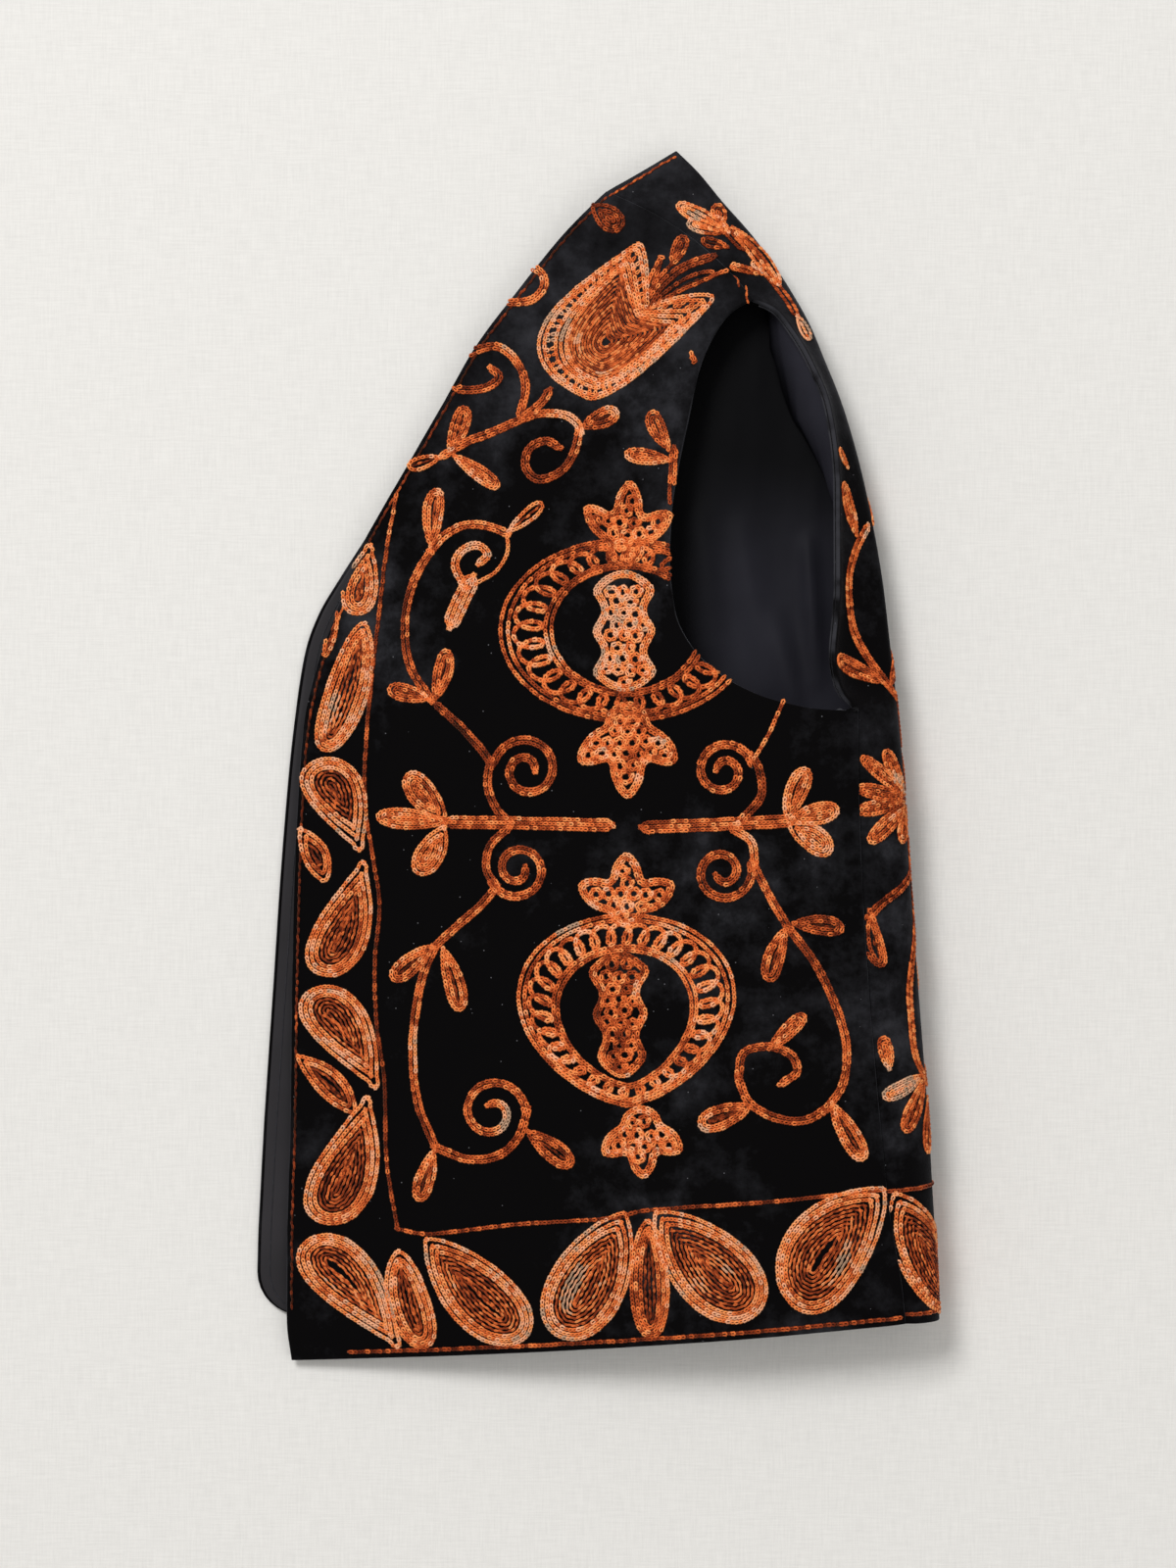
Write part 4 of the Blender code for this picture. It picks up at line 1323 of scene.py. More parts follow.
LOBE_WIDTH = 0.7
LOBE_POINT = 1.3


def crown(x, y, facing, middle, sides, apart, foot):
    """A crown with a middle lobe and one to each side, as reaches from a point in its foot."""
    turn = np.linspace(-180, 180, LOOP_POINTS, endpoint=False)
    reach = np.full(LOOP_POINTS, foot)
    for place, length in ((-apart, sides), (0.0, middle), (apart, sides)):
        off = np.clip(np.abs(turn - place) / (apart * LOBE_WIDTH), 0, 1)
        reach = np.maximum(reach, foot + (length - foot) * (1 - off ** LOBE_POINT))
    way = np.radians(turn + facing)
    return softened(np.array([x, y]) + np.column_stack([np.cos(way), np.sin(way)]) * reach[:, None])


def openwork(shade, loop):
    """Rows along an outline and uneven rings, close together, inside it."""
    rows = [row_of(set_in(loop, inset), shade + tone, "band", True) for inset, tone in OPEN_ROWS]
    turn = np.linspace(0, 2 * math.pi, 14)
    (left, low), (right, high) = loop.min(axis=0), loop.max(axis=0)
    for i in range(int((high - low) / OPEN_APART) + 1):
        for j in range(int((right - left) / OPEN_APART) + 1):
            spot = np.array([left + (j + 0.5 * (i % 2)) * OPEN_APART, low + i * OPEN_APART * 0.9])
            uneven = noise.noise_vector(Vector((spot[0] * 0.37, spot[1] * 0.37, shade)))
            spot += np.array(uneven[:2]) * OPEN_UNEVEN
            if not is_inside(loop, spot, OPEN_EDGE):
                continue
            wide, tall = 1 + 0.4 * uneven[2], 1 - 0.4 * uneven[0]
            ring = np.column_stack([np.cos(turn) * wide, np.sin(turn) * tall]) * OPEN_RING
            rows.append(row_of(ring + spot, shade + 0.1 * uneven[2], "cord"))
    return rows


TULIP_BARS = (0.25, 0.46)
TULIP_BAND = ((0.02, 0.04), (0.2, 0.0), (0.56, -0.02), (0.74, 0.0), (0.92, -0.04))


def bars_between(outer, inner, low, high, count, shade):
    """Short bars across a ring, which leave a row of small holes."""
    rows = []
    for k in range(count):
        shares = np.full(4, k / count)
        depth = np.linspace(low, high, 4)[:, None]
        spots = at_shares(outer, shares) * (1 - depth) + at_shares(inner, shares) * depth
        for side in (-TULIP_BAR_APART, TULIP_BAR_APART):
            rows.append(row_of(beside(spots, side), shade, "band"))
    return rows


SIDE_POINTS = 26


def bulged(corners):
    """A closed loop through corners, each side of it bulging outwards as half an ellipse."""
    points = []
    turn = np.linspace(0, math.pi, SIDE_POINTS, endpoint=False)
    for k, (x, y, bulge, lean) in enumerate(corners):
        start, end = np.array([x, y]), np.array(corners[(k + 1) % len(corners)][:2])
        run = end - start
        outwards = np.array([run[1], -run[0]]) / np.linalg.norm(run)
        along = (0.5 - 0.5 * np.cos(turn))[:, None]
        out = (bulge * np.sin(turn) * (1 - lean * np.cos(turn)))[:, None]
        points.append(start + run * along + outwards * out)
    return softened(np.vstack(points))


def tulip():
    """The tulip's banded edge, with fine rows nested in its heart."""
    outer, inner = bulged(TULIP_EDGE), bulged(TULIP_HEART)
    rows = [
        row_of(outer * (1 - share) + inner * share, TULIP_SHADE + tone, "band", True)
        for share, tone in TULIP_BAND
    ]
    rows += bars_between(outer, inner, *TULIP_BARS, TULIP_LOOPS, TULIP_SHADE)
    centre = np.array(TULIP_CENTRE)
    reach = np.median(np.linalg.norm(inner - centre, axis=1))
    size = 1.0 - 0.3 / reach
    while size * reach > 1.5:
        heart = centre + (inner - centre) * size
        rows.append({**row_of(heart, TULIP_SHADE + FINE_TONE, "fine", True), "wavy": False})
        size -= TULIP_FINE_STEP / reach
    return rows


def pomegranates():
    """Both rings, with the seed columns and crowns that lie over them."""
    rows = []
    for ring, hole, powers, count, shade in RINGS:
        outer, inner = outline(ring, powers, 1.1, 180), outline(hole, powers, 0.0, 180)
        rows += banded_ring(outer, inner, RING_ROWS, RING_LOOPS, count, shade)
    for *sizes, shade in SEED_COLUMNS:
        rows += openwork(shade, seed_column(*sizes))
    for *sizes, shade in CROWNS:
        rows += openwork(shade, crown(*sizes))
    return rows


# Laying the rows on the cloth.


def surface_tree(grids):
    """A tree of the shells' faces, to find the cloth under a point."""
    points, faces = [], []
    for grid in grids:
        base = len(points)
        rows, columns = grid.shape[:2]
        points += [Vector(point) for point in grid.reshape(-1, 3)]
        for i in range(rows - 1):
            for j in range(columns - 1):
                a = base + i * columns + j
                faces.append((a, a + 1, a + columns + 1, a + columns))
    return BVHTree.FromPolygons(points, faces)


# The embroidery's tables give points as they appear on the surface to an eye up here. On
# the roll that is only so for y, and everything there appears this much further out.
SEEN_FROM = (-5.25, -13.5, 2200.0)
ROLL_NEARER = 1.0145


def hit(tree, start, way):
    """Where a line from a point first meets the cloth, and the cloth's normal there."""
    spot, normal, _, _ = tree.ray_cast(start, way.normalized())
    if spot is None:
        return None
    return np.array(spot), np.array(normal if normal.z > 0 else -normal)


def straight_down(tree):
    """A way to lay points that are already over their place on the cloth."""
    return lambda x, y: hit(tree, Vector((x, y, 200.0)), Vector((0, 0, -1)))


def as_seen(tree):
    """A way to lay points where they appear to the eye above the cloth."""
    eye = Vector(SEEN_FROM)
    return lambda x, y: hit(tree, eye, Vector((x, y, 0.0)) - eye)


def round_the_roll(grid, rows):
    """A way to lay points on the roll by the distance round it from the seam, and y."""
    normals = normals_of(grid)
    lengths = np.linalg.norm(np.diff(grid, axis=1), axis=2)
    lengths = np.hstack([np.zeros((len(rows), 1)), np.cumsum(lengths, axis=1)])
    levels = [
        [np.interp(reach, lengths[k], grid[k, :, 1]) for k in range(len(rows))]
        for reach in range(math.ceil(lengths.max()) + 1)
    ]

    def lay(distance, y):
        if distance < 0.6:
            return None
        y = SEEN_FROM[1] + (y - SEEN_FROM[1]) / ROLL_NEARER
        level = levels[round(distance)]
        i = int(np.searchsorted(level, y)) - 1
        if i < 0 or i > len(rows) - 2:
            return None
        part = (y - level[i]) / (level[i + 1] - level[i])
        found = []
        for k in (i, i + 1):
            both = [grid[k], normals[k]]
            found.append([
                [np.interp(distance, lengths[k], values[:, axis]) for axis in range(3)]
                for values in both
            ])
        spot, normal = np.array(found[0]) * (1 - part) + np.array(found[1]) * part
        return spot, normal / np.linalg.norm(normal)

    return lay


HAND_SWAY = 0.3
# A row ends where its next point would be further away than this, as over the armhole.
LONGEST_STEP = 4.0
SHORTEST_RUN = 3
FEWEST_POINTS = 5
FINE_WAVE = (2.6, 0.24)
PALE_START = 0.33
PALE_GAIN = 1.5
# Rows dyed lighter than this have no pale stretches.
PALEST_DYE = 0.64


def strands(rows, lay, lift):
    """Rows laid on the cloth, cut where there is none, with a shade along each."""
    found = []
    for number, row in enumerate(rows):
        points = row["points"]
        length = np.append(0, np.cumsum(np.linalg.norm(np.diff(points, axis=0), axis=1)))
        count = max(FEWEST_POINTS, round(length[-1] / 1.2))
        at = np.linspace(0, length[-1], count)
        flat = np.column_stack([np.interp(at, length, points[:, k]) for k in (0, 1)])
        sway = [noise.noise(Vector((a / 7.0, number * 2.3, 4.0))) * HAND_SWAY for a in at]
        if row["thread"] == "fine" and row.get("wavy", True):
            pitch, reach = FINE_WAVE
            sway += np.sin(at * 2 * math.pi / pitch / 2 + number) * reach
        flat = beside(flat, np.array(sway)[:, None])
        run = []
        for spot, along in zip(flat, at):
            laid = lay(*spot)
            if laid is None:
                found.append((row["thread"], run))
                run = []
                continue
            position, normal = laid
            if run and np.linalg.norm(position + normal * lift - run[-1][0]) > LONGEST_STEP:
                found.append((row["thread"], run))
                run = []
            wander = noise.noise(Vector((along / 26.0, number * 3.7, sizes().seed)))
            drift = noise.noise(Vector((spot[0] / 45.0, spot[1] / 45.0, 2.0 + sizes().seed)))
            shade = row["shade"] + 0.16 * wander + 0.12 * drift
            pale = noise.noise(Vector((spot[0] / 30.0 + 9.0, spot[1] / 30.0, number * 0.2)))
            if pale > PALE_START and row["shade"] < PALEST_DYE:
                shade += (pale - PALE_START) * PALE_GAIN
            run.append((position + normal * lift, normal, float(np.clip(shade, 0.02, 0.98))))
        found.append((row["thread"], run))
    return [(thread, run) for thread, run in found if len(run) > SHORTEST_RUN]


# A stitch is a drawn-out loop of a few points, as long as this share of the stitch length.
LINK_POINTS = 7
LINK_REACH = 0.72


def chain_tree(stitch, radius, width):
    """Geometry Nodes that turn paths on the cloth into rows of chain stitch."""
    tree = bpy.data.node_groups.new("chain_stitch", "GeometryNodeTree")
    face = tree.interface
    face.new_socket(name="Geometry", in_out="INPUT", socket_type="NodeSocketGeometry")
    for name, value in (
        ("Stitch length", stitch), ("Row width", width), ("Thread radius", radius),
    ):
        made = face.new_socket(name=name, in_out="INPUT", socket_type="NodeSocketFloat")
        made.default_value = value
    made = face.new_socket(name="Seed", in_out="INPUT", socket_type="NodeSocketInt")
    made.default_value = 1
    face.new_socket(name="Thread", in_out="INPUT", socket_type="NodeSocketMaterial")
    face.new_socket(name="Geometry", in_out="OUTPUT", socket_type="NodeSocketGeometry")
    nodes = Nodes(tree)
    given = nodes.add("NodeGroupInput").outputs
    result = nodes.add("NodeGroupOutput")

    def maths(operation, *values):
        made = nodes.add("ShaderNodeMath", operation=operation)
        for socket, value in zip(made.inputs, values):
            if isinstance(value, bpy.types.NodeSocket):
                tree.links.new(value, socket)
            else:
                socket.default_value = value
        return made.outputs[0]

    circle = nodes.add("GeometryNodeCurvePrimitiveCircle", Resolution=LINK_POINTS, Radius=1.0)
    spot = nodes.add("GeometryNodeInputPosition").outputs["Position"]
    apart = nodes.add("ShaderNodeSeparateXYZ", Vector=spot).outputs
    along = maths("MULTIPLY", apart["X"], maths("MULTIPLY", given["Stitch length"], LINK_REACH))
    slim = maths("MULTIPLY_ADD", apart["X"], 0.42, 0.62)
    half = maths("SUBTRACT", maths("MULTIPLY", given["Row width"], 0.5), given["Thread radius"])
    across = maths("MULTIPLY", maths("MULTIPLY", apart["Y"], slim), half)
    rise = maths("MULTIPLY", apart["X"], maths("MULTIPLY", given["Thread radius"], 0.5))
    moved = nodes.add("ShaderNodeCombineXYZ", X=along, Y=across, Z=rise).outputs["Vector"]
    teardrop = nodes.add(
        "GeometryNodeSetPosition", Geometry=circle.outputs["Curve"], Position=moved
    ).outputs["Geometry"]
    profile = nodes.add(
        "GeometryNodeCurvePrimitiveCircle", Resolution=3, Radius=given["Thread radius"]
    ).outputs["Curve"]
    link = nodes.add("GeometryNodeCurveToMesh", Curve=teardrop, Profile_Curve=profile)
    paths = nodes.add("GeometryNodeMeshToCurve", Mesh=given["Geometry"]).outputs["Curve"]
    spaced = nodes.add("GeometryNodeResampleCurve", mode="LENGTH")
    nodes.feed(spaced, "Curve", paths)
    nodes.feed(spaced, "Length", given["Stitch length"])
    normal = nodes.add("GeometryNodeInputNamedAttribute", data_type="FLOAT_VECTOR")
    nodes.feed(normal, "Name", "cloth_normal")
    tangent = nodes.add("GeometryNodeInputTangent").outputs["Tangent"]
    turned = nodes.add("FunctionNodeAxesToRotation", primary_axis="Z", secondary_axis="X")
    nodes.feed(turned, "Primary Axis", normal.outputs["Attribute"])
    nodes.feed(turned, "Secondary Axis", tangent)
    uneven = nodes.add("FunctionNodeRandomValue", data_type="FLOAT")
    uneven.inputs[2].default_value = 0.9
    uneven.inputs[3].default_value = 1.12
    nodes.feed(uneven, "Seed", given["Seed"])
    shade = nodes.add("GeometryNodeInputNamedAttribute", data_type="FLOAT")
    nodes.feed(shade, "Name", "shade")
    # Each stitch's shade is moved at random: uneven thread together with painted glints.
    stitch_tone_and_glint = nodes.add("FunctionNodeRandomValue", data_type="FLOAT")
    stitch_tone_and_glint.inputs[2].default_value = -0.2
    stitch_tone_and_glint.inputs[3].default_value = 0.2
    nodes.feed(stitch_tone_and_glint, "Seed", given["Seed"])
    shaded = nodes.add("GeometryNodeStoreNamedAttribute", data_type="FLOAT", domain="POINT")
    nodes.feed(shaded, "Geometry", spaced.outputs["Curve"])
    nodes.feed(shaded, "Name", "shade")
    nodes.feed(shaded, "Value", maths("ADD", shade.outputs["Attribute"], stitch_tone_and_glint.outputs[1]))
    stitches = nodes.add("GeometryNodeInstanceOnPoints")
    nodes.feed(stitches, "Points", shaded.outputs["Geometry"])
    nodes.feed(stitches, "Instance", link.outputs["Mesh"])
    nodes.feed(stitches, "Rotation", turned.outputs["Rotation"])
    nodes.feed(stitches, "Scale", uneven.outputs[1])
    real = nodes.add("GeometryNodeRealizeInstances", Geometry=stitches.outputs["Instances"])
    soft = nodes.add("GeometryNodeSetShadeSmooth", Geometry=real.outputs["Geometry"])
    coloured = nodes.add("GeometryNodeSetMaterial", Geometry=soft.outputs["Geometry"])
    nodes.feed(coloured, "Material", given["Thread"])
    tree.links.new(coloured.outputs["Geometry"], result.inputs["Geometry"])
    return tree


def path_object(name, runs):
    """An edges-only object that holds the paths of some rows."""
    points, edges, normals, shades = [], [], [], []
    for run in runs:
        base = len(points)
        for position, normal, shade in run:
            points.append(tuple(position * MM))
            normals.append(normal)
            shades.append(shade)
        edges += [(base + k, base + k + 1) for k in range(len(run) - 1)]
    mesh = bpy.data.meshes.new(name)
    mesh.from_pydata(points, edges, [])
    mesh.attributes.new("shade", "FLOAT", "POINT").data.foreach_set("value", shades)
    field = mesh.attributes.new("cloth_normal", "FLOAT_VECTOR", "POINT")
    field.data.foreach_set("vector", np.asarray(normals, np.float32).ravel())
    made = bpy.data.objects.new(name, mesh)
    bpy.context.scene.collection.objects.link(made)
    return made


def stitched(name, runs, sizes_of_row, material):
    """Rows of chain stitch along paths, as plain mesh."""
    width, _, stitch, radius = (value * MM for value in sizes_of_row)
    paths = path_object(name + "_paths", runs)
    tree = chain_tree(stitch, radius, width)
    modifier = paths.modifiers.new("chain", "NODES")
    modifier.node_group = tree
    values = {
        "Stitch length": stitch, "Row width": width, "Thread radius": radius,
        "Seed": sizes().seed, "Thread": material,
    }
    for item in tree.interface.items_tree:
        if item.in_out == "INPUT" and item.name in values:
            modifier[item.identifier] = values[item.name]
    bpy.context.view_layer.update()
    graph = bpy.context.evaluated_depsgraph_get()
    mesh = bpy.data.meshes.new_from_object(paths.evaluated_get(graph))
    mesh.name = name
    if mesh.attributes.get("cloth_normal"):
        mesh.attributes.remove(mesh.attributes["cloth_normal"])
    bpy.data.objects.remove(paths)
    bpy.data.node_groups.remove(tree)
    made = bpy.data.objects.new(name, mesh)
    bpy.context.scene.collection.objects.link(made)
    print(name, len(mesh.polygons), "faces")
    return made


def embroider(name, laid, thread):
    """One piece of embroidery: every laid row of one thread."""
    runs = [run for kind, run in laid if kind == thread]
    if runs:
        rest(stitched(name, runs, THREADS[thread], finish_of("thread")), "thread")


def embroider_all(name, rows, lay):
    """The pieces of one region, one for each thread."""
    laid = strands(rows, lay, sizes().stitch_lift / MM)
    return [embroider(f"{name}_{thread}", laid, thread) for thread in THREADS]


def shapes(table):
    """Rows of every filled shape in a table."""
    return [row for shape in table for row in filled_shape(*shape)]


# Operators.

kept = {}


def cloth_grids():
    """The grids of the left front and the back, made once."""
    if "left" not in kept:
        kept["left"] = left_front_grid(sizes().grid / MM)
        kept["back"], kept["rows"] = back_grid(sizes().grid / MM * 1.3)
        tree = surface_tree([kept["left"], kept["back"][:, :BACK_TOP_COLUMNS]])
        kept["above"], kept["below"] = as_seen(tree), straight_down(tree)
        kept["roll"] = round_the_roll(kept["back"], kept["rows"])
    return kept


class WAISTCOAT_OT_stage(bpy.types.Operator):
    """The linen under the garment, the light and the camera"""

    bl_idname = "waistcoat.stage"
    bl_label = "Stage"

    def execute(self, context):
        add_linen()
        add_lights()
        add_camera()
        return {"FINISHED"}


LINEN_SIZE = 4.0
LINEN_LEVEL = -0.0004


def add_linen():
    """A wide flat cloth just under the garment."""
    half = LINEN_SIZE / 2
    mesh = bpy.data.meshes.new("linen")
    corners = [(-half, -half), (half, -half), (half, half), (-half, half)]
    mesh.from_pydata([(x, y, LINEN_LEVEL) for x, y in corners], [], [(0, 1, 2, 3)])
    mesh.materials.append(finish_of("linen"))
    made = bpy.data.objects.new("linen", mesh)
    bpy.context.scene.collection.objects.link(made)


LIGHT_COLUMNS = ("name", "x", "y", "z", "size", "watts")
LIGHTS = (
    ("window", -2.0, 3.0, 4.4, 1.9, 205.0),
    ("fill", 2.4, -2.0, 4.0, 3.0, 18.0),
)


def add_lights():
    """A soft window light from the upper left, a fill and a pale surround."""
    for name, x, y, z, size, watts in LIGHTS:
        light = bpy.data.lights.new(name, "AREA")
        light.size = size
        light.energy = watts
        made = bpy.data.objects.new(name, light)
        made.location = (x, y, z)
        made.rotation_euler = Vector((x, y, z)).to_track_quat("Z", "Y").to_euler()
        bpy.context.scene.collection.objects.link(made)
    world = bpy.data.worlds.new("surround")
    world.use_nodes = True
    background = world.node_tree.nodes["Background"]
    background.inputs["Color"].default_value = (1.0, 0.99, 0.97, 1.0)
    background.inputs["Strength"].default_value = 0.5
    bpy.context.scene.world = world
    bpy.context.scene.view_settings.view_transform = "Standard"


CAMERA_HEIGHT = 2.2
CAMERA_X = -0.00525
CAMERA_Y = -0.0135
FRAME_HEIGHT = 0.8
SENSOR_HEIGHT = 36.0


def add_camera():
    """A camera straight above, with its frame 800 mm high at the surface."""
    data = bpy.data.cameras.new("camera")
    data.sensor_width = SENSOR_HEIGHT
    data.lens = SENSOR_HEIGHT * CAMERA_HEIGHT / FRAME_HEIGHT
    data.clip_end = 20.0
    made = bpy.data.objects.new("camera", data)
    made.location = (CAMERA_X, CAMERA_Y, CAMERA_HEIGHT)
    bpy.context.scene.collection.objects.link(made)
    bpy.context.scene.camera = made


def rest(piece, slot, *nodes):
    """Rides a piece on the garment and lets it stand for its solids."""
    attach(piece, "root")
    if nodes:
        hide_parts(*nodes)


class WAISTCOAT_OT_velvet(bpy.types.Operator):
    """The velvet panels"""

    bl_idname = "waistcoat.velvet"
    bl_label = "Velvet"

    def execute(self, context):
        velvet = finish_of("velvet")
        grids = cloth_grids()
        front = grids["left"]
        inward = -normals_of(front)
        left = add_wall("left_front_velvet", front, inward, 0.0, VELVET, velvet)
        rest(left, "velvet", "left_front")
        inward = -normals_of(grids["back"])
        back = add_wall("back_velvet", grids["back"], inward, 0.0, VELVET, velvet)
        rest(back, "velvet", "back")
        under = right_front_grid(4.0, 0.0)
        flat = np.dstack([under, np.full(under.shape[:2], VELVET)])
        down = np.zeros(flat.shape)
        down[..., 2] = -1
        right = add_wall("right_front_velvet", flat, down, 0.0, VELVET, velvet)
        rest(right, "velvet", "right_front")
        return {"FINISHED"}


class WAISTCOAT_OT_facing(bpy.types.Operator):
    """The strip of velvet turned in along the back of the armhole"""

    bl_idname = "waistcoat.facing"
    bl_label = "Armhole facing"

    def execute(self, context):
        grids = cloth_grids()
        keep = [
            i for i, place in enumerate(grids["rows"])
            if SIDE_ROWS + 0.5 < place < FIRST_SHOULDER - 0.2
        ]
        grid = grids["back"][keep]
        inward = -normals_of(grids["back"])[keep]
        lengths = np.linalg.norm(np.diff(grid, axis=1), axis=2)
        lengths = np.hstack([np.zeros((len(keep), 1)), np.cumsum(lengths, axis=1)])
        strip, directions = [], []
        for k in range(len(keep)):
            at = np.linspace(0, FACING_WIDTH, 5)
            strip.append([[np.interp(a, lengths[k], grid[k, :, c]) for c in range(3)] for a in at])
            directions.append([inward[k, 1]] * len(at))
        made = add_wall(
            "armhole_facing_velvet", np.array(strip), np.array(directions),
            VELVET + SEAM_GAP, LINING, finish_of("velvet"),
        )
        rest(made, "velvet", "armhole_facing")
        return {"FINISHED"}


# How far the inner lining bags out from under the armhole's rim, by the back's rows.
BAG_COLUMNS = ("place", "reach")
BAG = (
    (7.2, 0.0), (8.0, 2.0), (9.0, 2.0), (10.0, 3.0), (10.5, 9.0), (11.0, 15.0), (12.0, 22.0),
    (13.0, 21.0), (14.0, 19.0), (15.0, 12.0), (16.0, 5.0),
)
BAG_DEPTH = 34.0
BAG_WRINKLES = (1.1, 5.0, 2.4)
LINING_CREASES = (
    (90.0, 70.0, 99.0, 24.0, 6.0, -4.2),
    (106.0, 108.0, 111.0, 40.0, 4.5, -4.0),
    (72.0, 112.0, 86.0, 38.0, 8.0, -3.0),
    (52.0, 120.0, 58.0, 60.0, 8.0, -2.4),
)
LINING_COLUMNS = 60


def bagged(grid, rows):
    """The inner lining's grid, drawn out in soft wrinkles under the armhole's rim."""
    grid = grid.copy()
    table = np.array(BAG)
    along, down, deep = BAG_WRINKLES
    for i, place in enumerate(rows):
        reach = np.interp(place, table[:, 0], table[:, 1], left=0.0)
        out = grid[i, 14, :2] - grid[i, 0, :2]
        out /= np.linalg.norm(out)
        length = np.append(0, np.cumsum(np.linalg.norm(np.diff(grid[i], axis=0), axis=1)))
        share = np.clip(length / BAG_DEPTH, 0, 1)
        wrinkle = np.array([
            noise.noise(Vector((place * along + part * down, part * down * 0.5, 3.0)))
            for part in share
        ])
        swell = (reach + wrinkle * deep * min(1.0, reach / 5)) * np.sin(math.pi * share) ** 0.8
        grid[i, :, :2] -= out * swell[:, None]
        low = grid[i, :, 2] < LOW_LAYER + 1.0
        grid[i, low, 2] -= crease_depths(LINING_CREASES, grid[i, low])
    return grid


class WAISTCOAT_OT_linings(bpy.types.Operator):
    """The satin linings of the back and the right front"""

    bl_idname = "waistcoat.linings"
    bl_label = "Linings"

    def execute(self, context):
        satin = finish_of("lining")
        dense, rows = back_grid(sizes().grid / MM * 1.3, under=LINING_COLUMNS)
        keep = [i for i, place in enumerate(rows) if place <= FIRST_SHOULDER]
        grid = bagged(dense[keep][:, 4:], [rows[i] for i in keep])
        inward = -normals_of(dense)[keep][:, 4:]
        inside = add_wall("back_lining_satin", grid, inward, VELVET + SEAM_GAP, LINING, satin)
        rest(inside, "lining", "back_lining")
        under = right_front_grid(4.0, LINING_INSET)
        under[0, :, 1] += LINING_INSET
        under[-1, :, 1] -= LINING_INSET
        level = VELVET + SEAM_GAP + LINING
        flat = np.dstack([under, np.full(under.shape[:2], level)])
        down = np.zeros(flat.shape)
        down[..., 2] = -1
        black = finish_of("front_lining")
        right = add_wall("right_front_lining_satin", flat, down, 0.0, LINING, black)
        rest(right, "lining", "right_front_lining")
        line = right_front_grid(4.0, EDGE_STITCH_INSET)[:, 0]
        up = np.array([0.0, 0.0, 1.0])
        spots = [np.append(point, level + 0.15) for point in line[2:]]
        run = [(spot, up, 0.5) for spot in spots]
        rest(stitched("lining_edge_stitch", [run], SEWING, finish_of("sewing")), "thread")
        return {"FINISHED"}


FOLD_BOTTOM = 4.0
FOLD_TOP = 8.0
FOLD_MARGINS = {"left": 12.0, "right": 9.0, "hem": 7.0}
FOLD_PROFILE = (
    (1.6, 0.0), (0.5, 0.35), (0.0, 1.0), (0.3, 1.6), (1.4, 2.0), (0.3, 2.4), (0.0, 3.0),
    (0.5, 3.65), (1.6, 4.0),
)


class WAISTCOAT_OT_folded_layers(bpy.types.Operator):
    """The hidden half of the back, folded between the fronts"""

    bl_idname = "waistcoat.folded_layers"
    bl_label = "Folded layers"

    def execute(self, context):
        points, faces, loops = [], [], []
        last = len(BACK_SECTIONS) - 2
        for place in places(BACK_SECTIONS, 0, last, ((1, 2),), 6.0):
            row = dict(zip(BACK_COLUMNS, at_row(BACK_SECTIONS, place)))
            left = np.array([row["end_x"], row["end_y"]])
            right = np.array([row["fold_x"], row["fold_y"]])
            course = (right - left) / np.linalg.norm(right - left)
            lift = np.array([0, FOLD_MARGINS["hem"] * max(0.0, 1 - place)])
            left = left - course * FOLD_MARGINS["left"] + lift
            right = right - course * FOLD_MARGINS["right"] + lift
            near = [np.append(left + course * i, FOLD_BOTTOM + z) for i, z in FOLD_PROFILE]
            far = [np.append(right - course * i, FOLD_BOTTOM + z) for i, z in FOLD_PROFILE]
            ring = near + far[::-1]
            loops.append([len(points) + k for k in range(len(ring))])
            points += ring
        for lower, upper in zip(loops, loops[1:]):
            for k in range(len(lower)):
                n = (k + 1) % len(lower)
                faces.append((lower[k], upper[k], upper[n], lower[n]))
        for ring, turned in ((loops[0], False), (loops[-1], True)):
            for k in range(len(ring) // 2 - 1):
                face = (ring[k], ring[k + 1], ring[-2 - k], ring[-1 - k])
                faces.append(face[::-1] if turned else face)
        made = add_mesh("folded_layers", points, faces, finish_of("lining"))
        rest(made, "lining", "folded_back")
        return {"FINISHED"}


class WAISTCOAT_OT_border(bpy.types.Operator):
    """Drops along the front edge and hem, and the rows that frame them"""

    bl_idname = "waistcoat.border"
    bl_label = "Border embroidery"

    def execute(self, context):
        grids = cloth_grids()
        embroider_all("border_drops", shapes(BORDER_SHAPES), grids["above"])
        lines = [row_of(smooth(FRAME_LINE), 0.3), row_of(smooth(FRAME_HEM_LINE), 0.38)]
        embroider_all("border_lines", lines, grids["above"])
        first, hem = edge_lines(grids["left"])
        edges = [row_of(first, 0.1, "fine"), row_of(hem, 0.34)]
        embroider_all("border_edges", edges, grids["below"])
        rolled = shapes(BORDER_ROLL_SHAPES)
        rolled.append(row_of(((1.0, -220.5), (45.0, -217.0), (90.0, -217.0)), 0.38))
        rolled.append(row_of(((1.0, -283.5), (30.0, -282.0), (90.0, -284.5)), 0.38))
        embroider_all("border_roll", rolled, grids["roll"])
        return {"FINISHED"}


def edge_lines(grid):
    """Thin rows just inside the front edge and along the hem."""
    first = beside(grid[:, 0, :2], -EDGE_LINE_INSET)
    hem = beside(grid[0, :, :2], HEM_LINE_INSET)
    return first[HEM_CORNER:-1], hem[HEM_CORNER:-1]


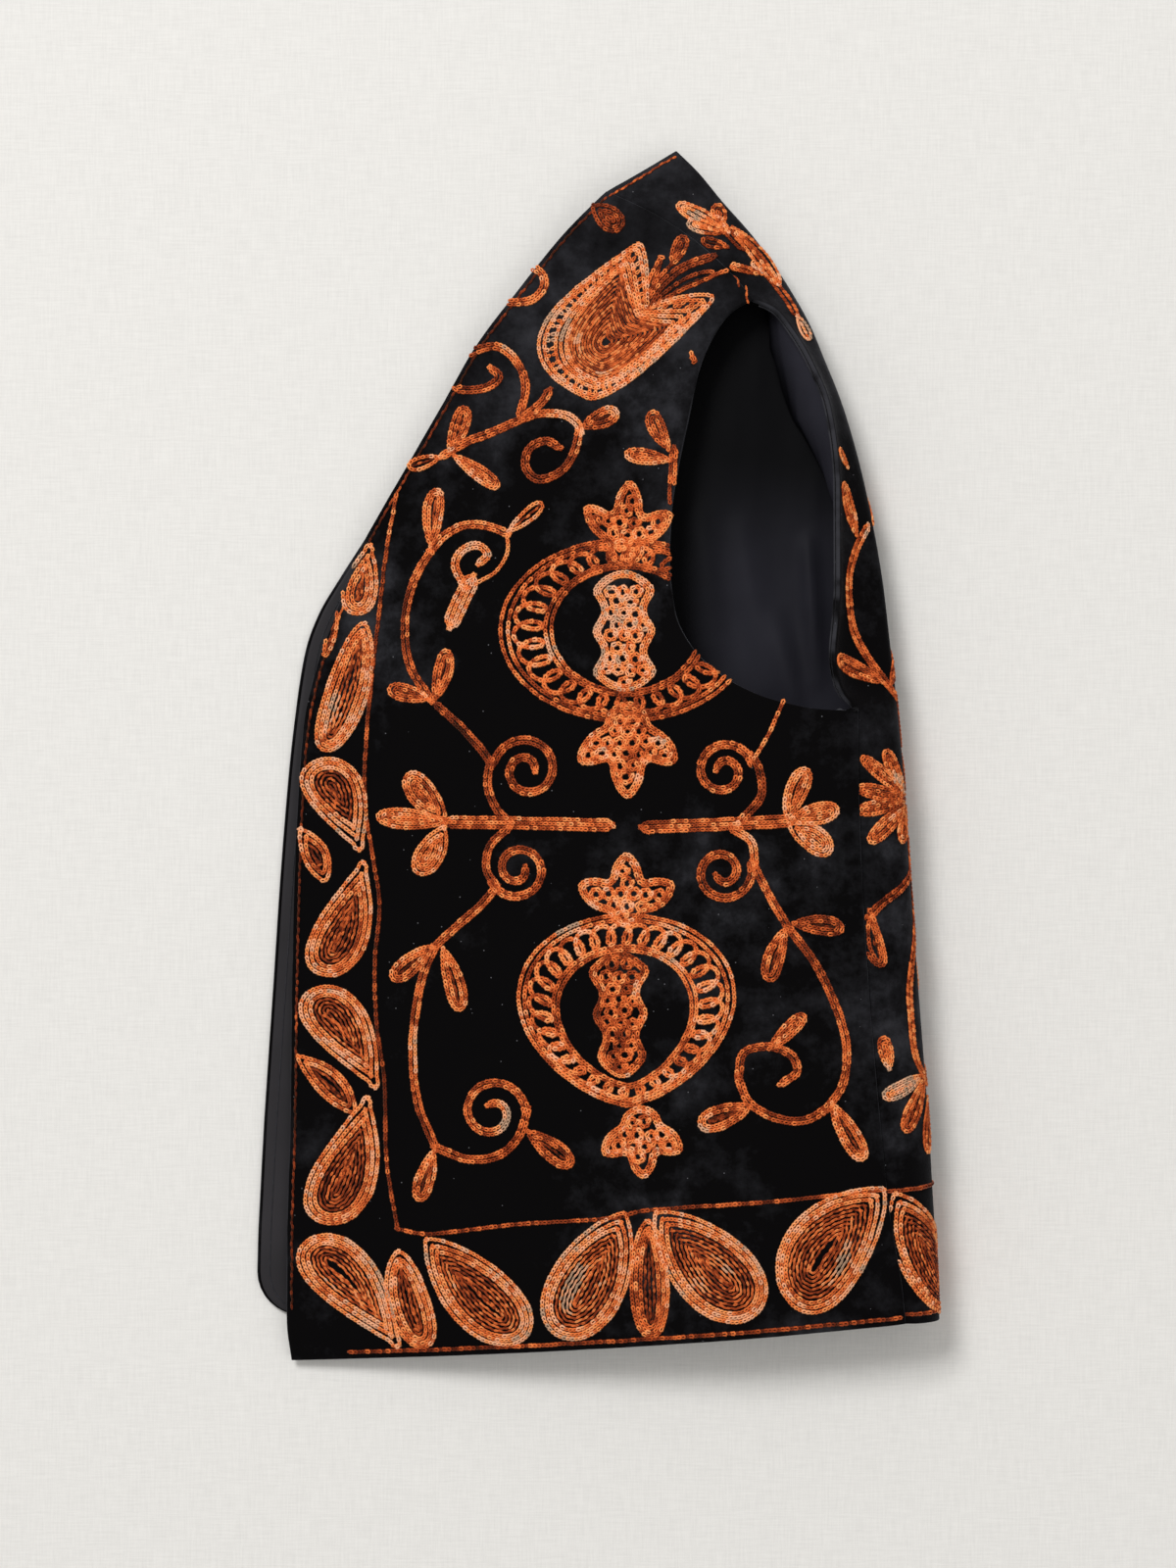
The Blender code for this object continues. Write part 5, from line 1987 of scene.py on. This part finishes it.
class WAISTCOAT_OT_scrolls(bpy.types.Operator):
    """Stems, curls, leaves and flowers of the front"""

    bl_idname = "waistcoat.scrolls"
    bl_label = "Scroll embroidery"

    def execute(self, context):
        rows = []
        for count, shade, points in SCROLL_STEMS:
            rows += stem(count, shade, points)
        for values in CURLS:
            rows += curl(*values)
        rows += shapes(SCROLL_SHAPES)
        embroider_all("scrolls", rows, cloth_grids()["above"])
        return {"FINISHED"}


class WAISTCOAT_OT_fruit(bpy.types.Operator):
    """The tulip and the pomegranates"""

    bl_idname = "waistcoat.fruit"
    bl_label = "Tulip and pomegranates"

    def execute(self, context):
        above = cloth_grids()["above"]
        embroider_all("tulip", tulip(), above)
        embroider_all("pomegranates", pomegranates(), above)
        return {"FINISHED"}


class WAISTCOAT_OT_back_work(bpy.types.Operator):
    """Flowers and leaves of the back, over the shoulder and round the roll"""

    bl_idname = "waistcoat.back_work"
    bl_label = "Back embroidery"

    def execute(self, context):
        grids = cloth_grids()
        rows = shapes(SHOULDER_SHAPES)
        for count, shade, points in SHOULDER_STEMS:
            rows += stem(count, shade, points)
        rows += [row_of(points, 0.45, "fine") for points in (*SEAM_ENDS, NECK_LINE)]
        embroider_all("shoulder_flowers", rows, grids["above"])
        rows = shapes(ROLL_SHAPES)
        for count, shade, points in ROLL_STEMS:
            rows += stem(count, shade, points)
        embroider_all("roll_flowers", rows, grids["roll"])
        return {"FINISHED"}


OPERATORS = (
    WAISTCOAT_OT_stage,
    WAISTCOAT_OT_velvet,
    WAISTCOAT_OT_facing,
    WAISTCOAT_OT_linings,
    WAISTCOAT_OT_folded_layers,
    WAISTCOAT_OT_border,
    WAISTCOAT_OT_scrolls,
    WAISTCOAT_OT_fruit,
    WAISTCOAT_OT_back_work,
)


class WAISTCOAT_PT_panel(bpy.types.Panel):
    """The waistcoat's pieces in the sidebar"""

    bl_idname = "WAISTCOAT_PT_panel"
    bl_label = "Waistcoat"
    bl_space_type = "VIEW_3D"
    bl_region_type = "UI"
    bl_category = "Waistcoat"

    def draw(self, context):
        layout = self.layout
        for group in (context.scene.waistcoat_sizes, context.scene.waistcoat_colours):
            for name in group.bl_rna.properties.keys():
                if name not in ("rna_type", "name"):
                    layout.prop(group, name)
        for operator in OPERATORS:
            layout.operator(operator.bl_idname)


CLASSES = (WaistcoatSizes, WaistcoatColours, *OPERATORS, WAISTCOAT_PT_panel)


def register():
    """Registers the classes and the scene's properties."""
    for made in CLASSES:
        bpy.utils.register_class(made)
    bpy.types.Scene.waistcoat_sizes = bpy.props.PointerProperty(type=WaistcoatSizes)
    bpy.types.Scene.waistcoat_colours = bpy.props.PointerProperty(type=WaistcoatColours)


def unregister():
    """Removes what register added."""
    del bpy.types.Scene.waistcoat_colours
    del bpy.types.Scene.waistcoat_sizes
    for made in reversed(CLASSES):
        bpy.utils.unregister_class(made)


def main():
    """Builds every piece in order."""
    register()
    bpy.ops.waistcoat.stage()
    bpy.ops.waistcoat.velvet()
    bpy.ops.waistcoat.facing()
    bpy.ops.waistcoat.linings()
    bpy.ops.waistcoat.folded_layers()
    bpy.ops.waistcoat.border()
    bpy.ops.waistcoat.scrolls()
    bpy.ops.waistcoat.fruit()
    bpy.ops.waistcoat.back_work()


if __name__ == "__main__":
    main()
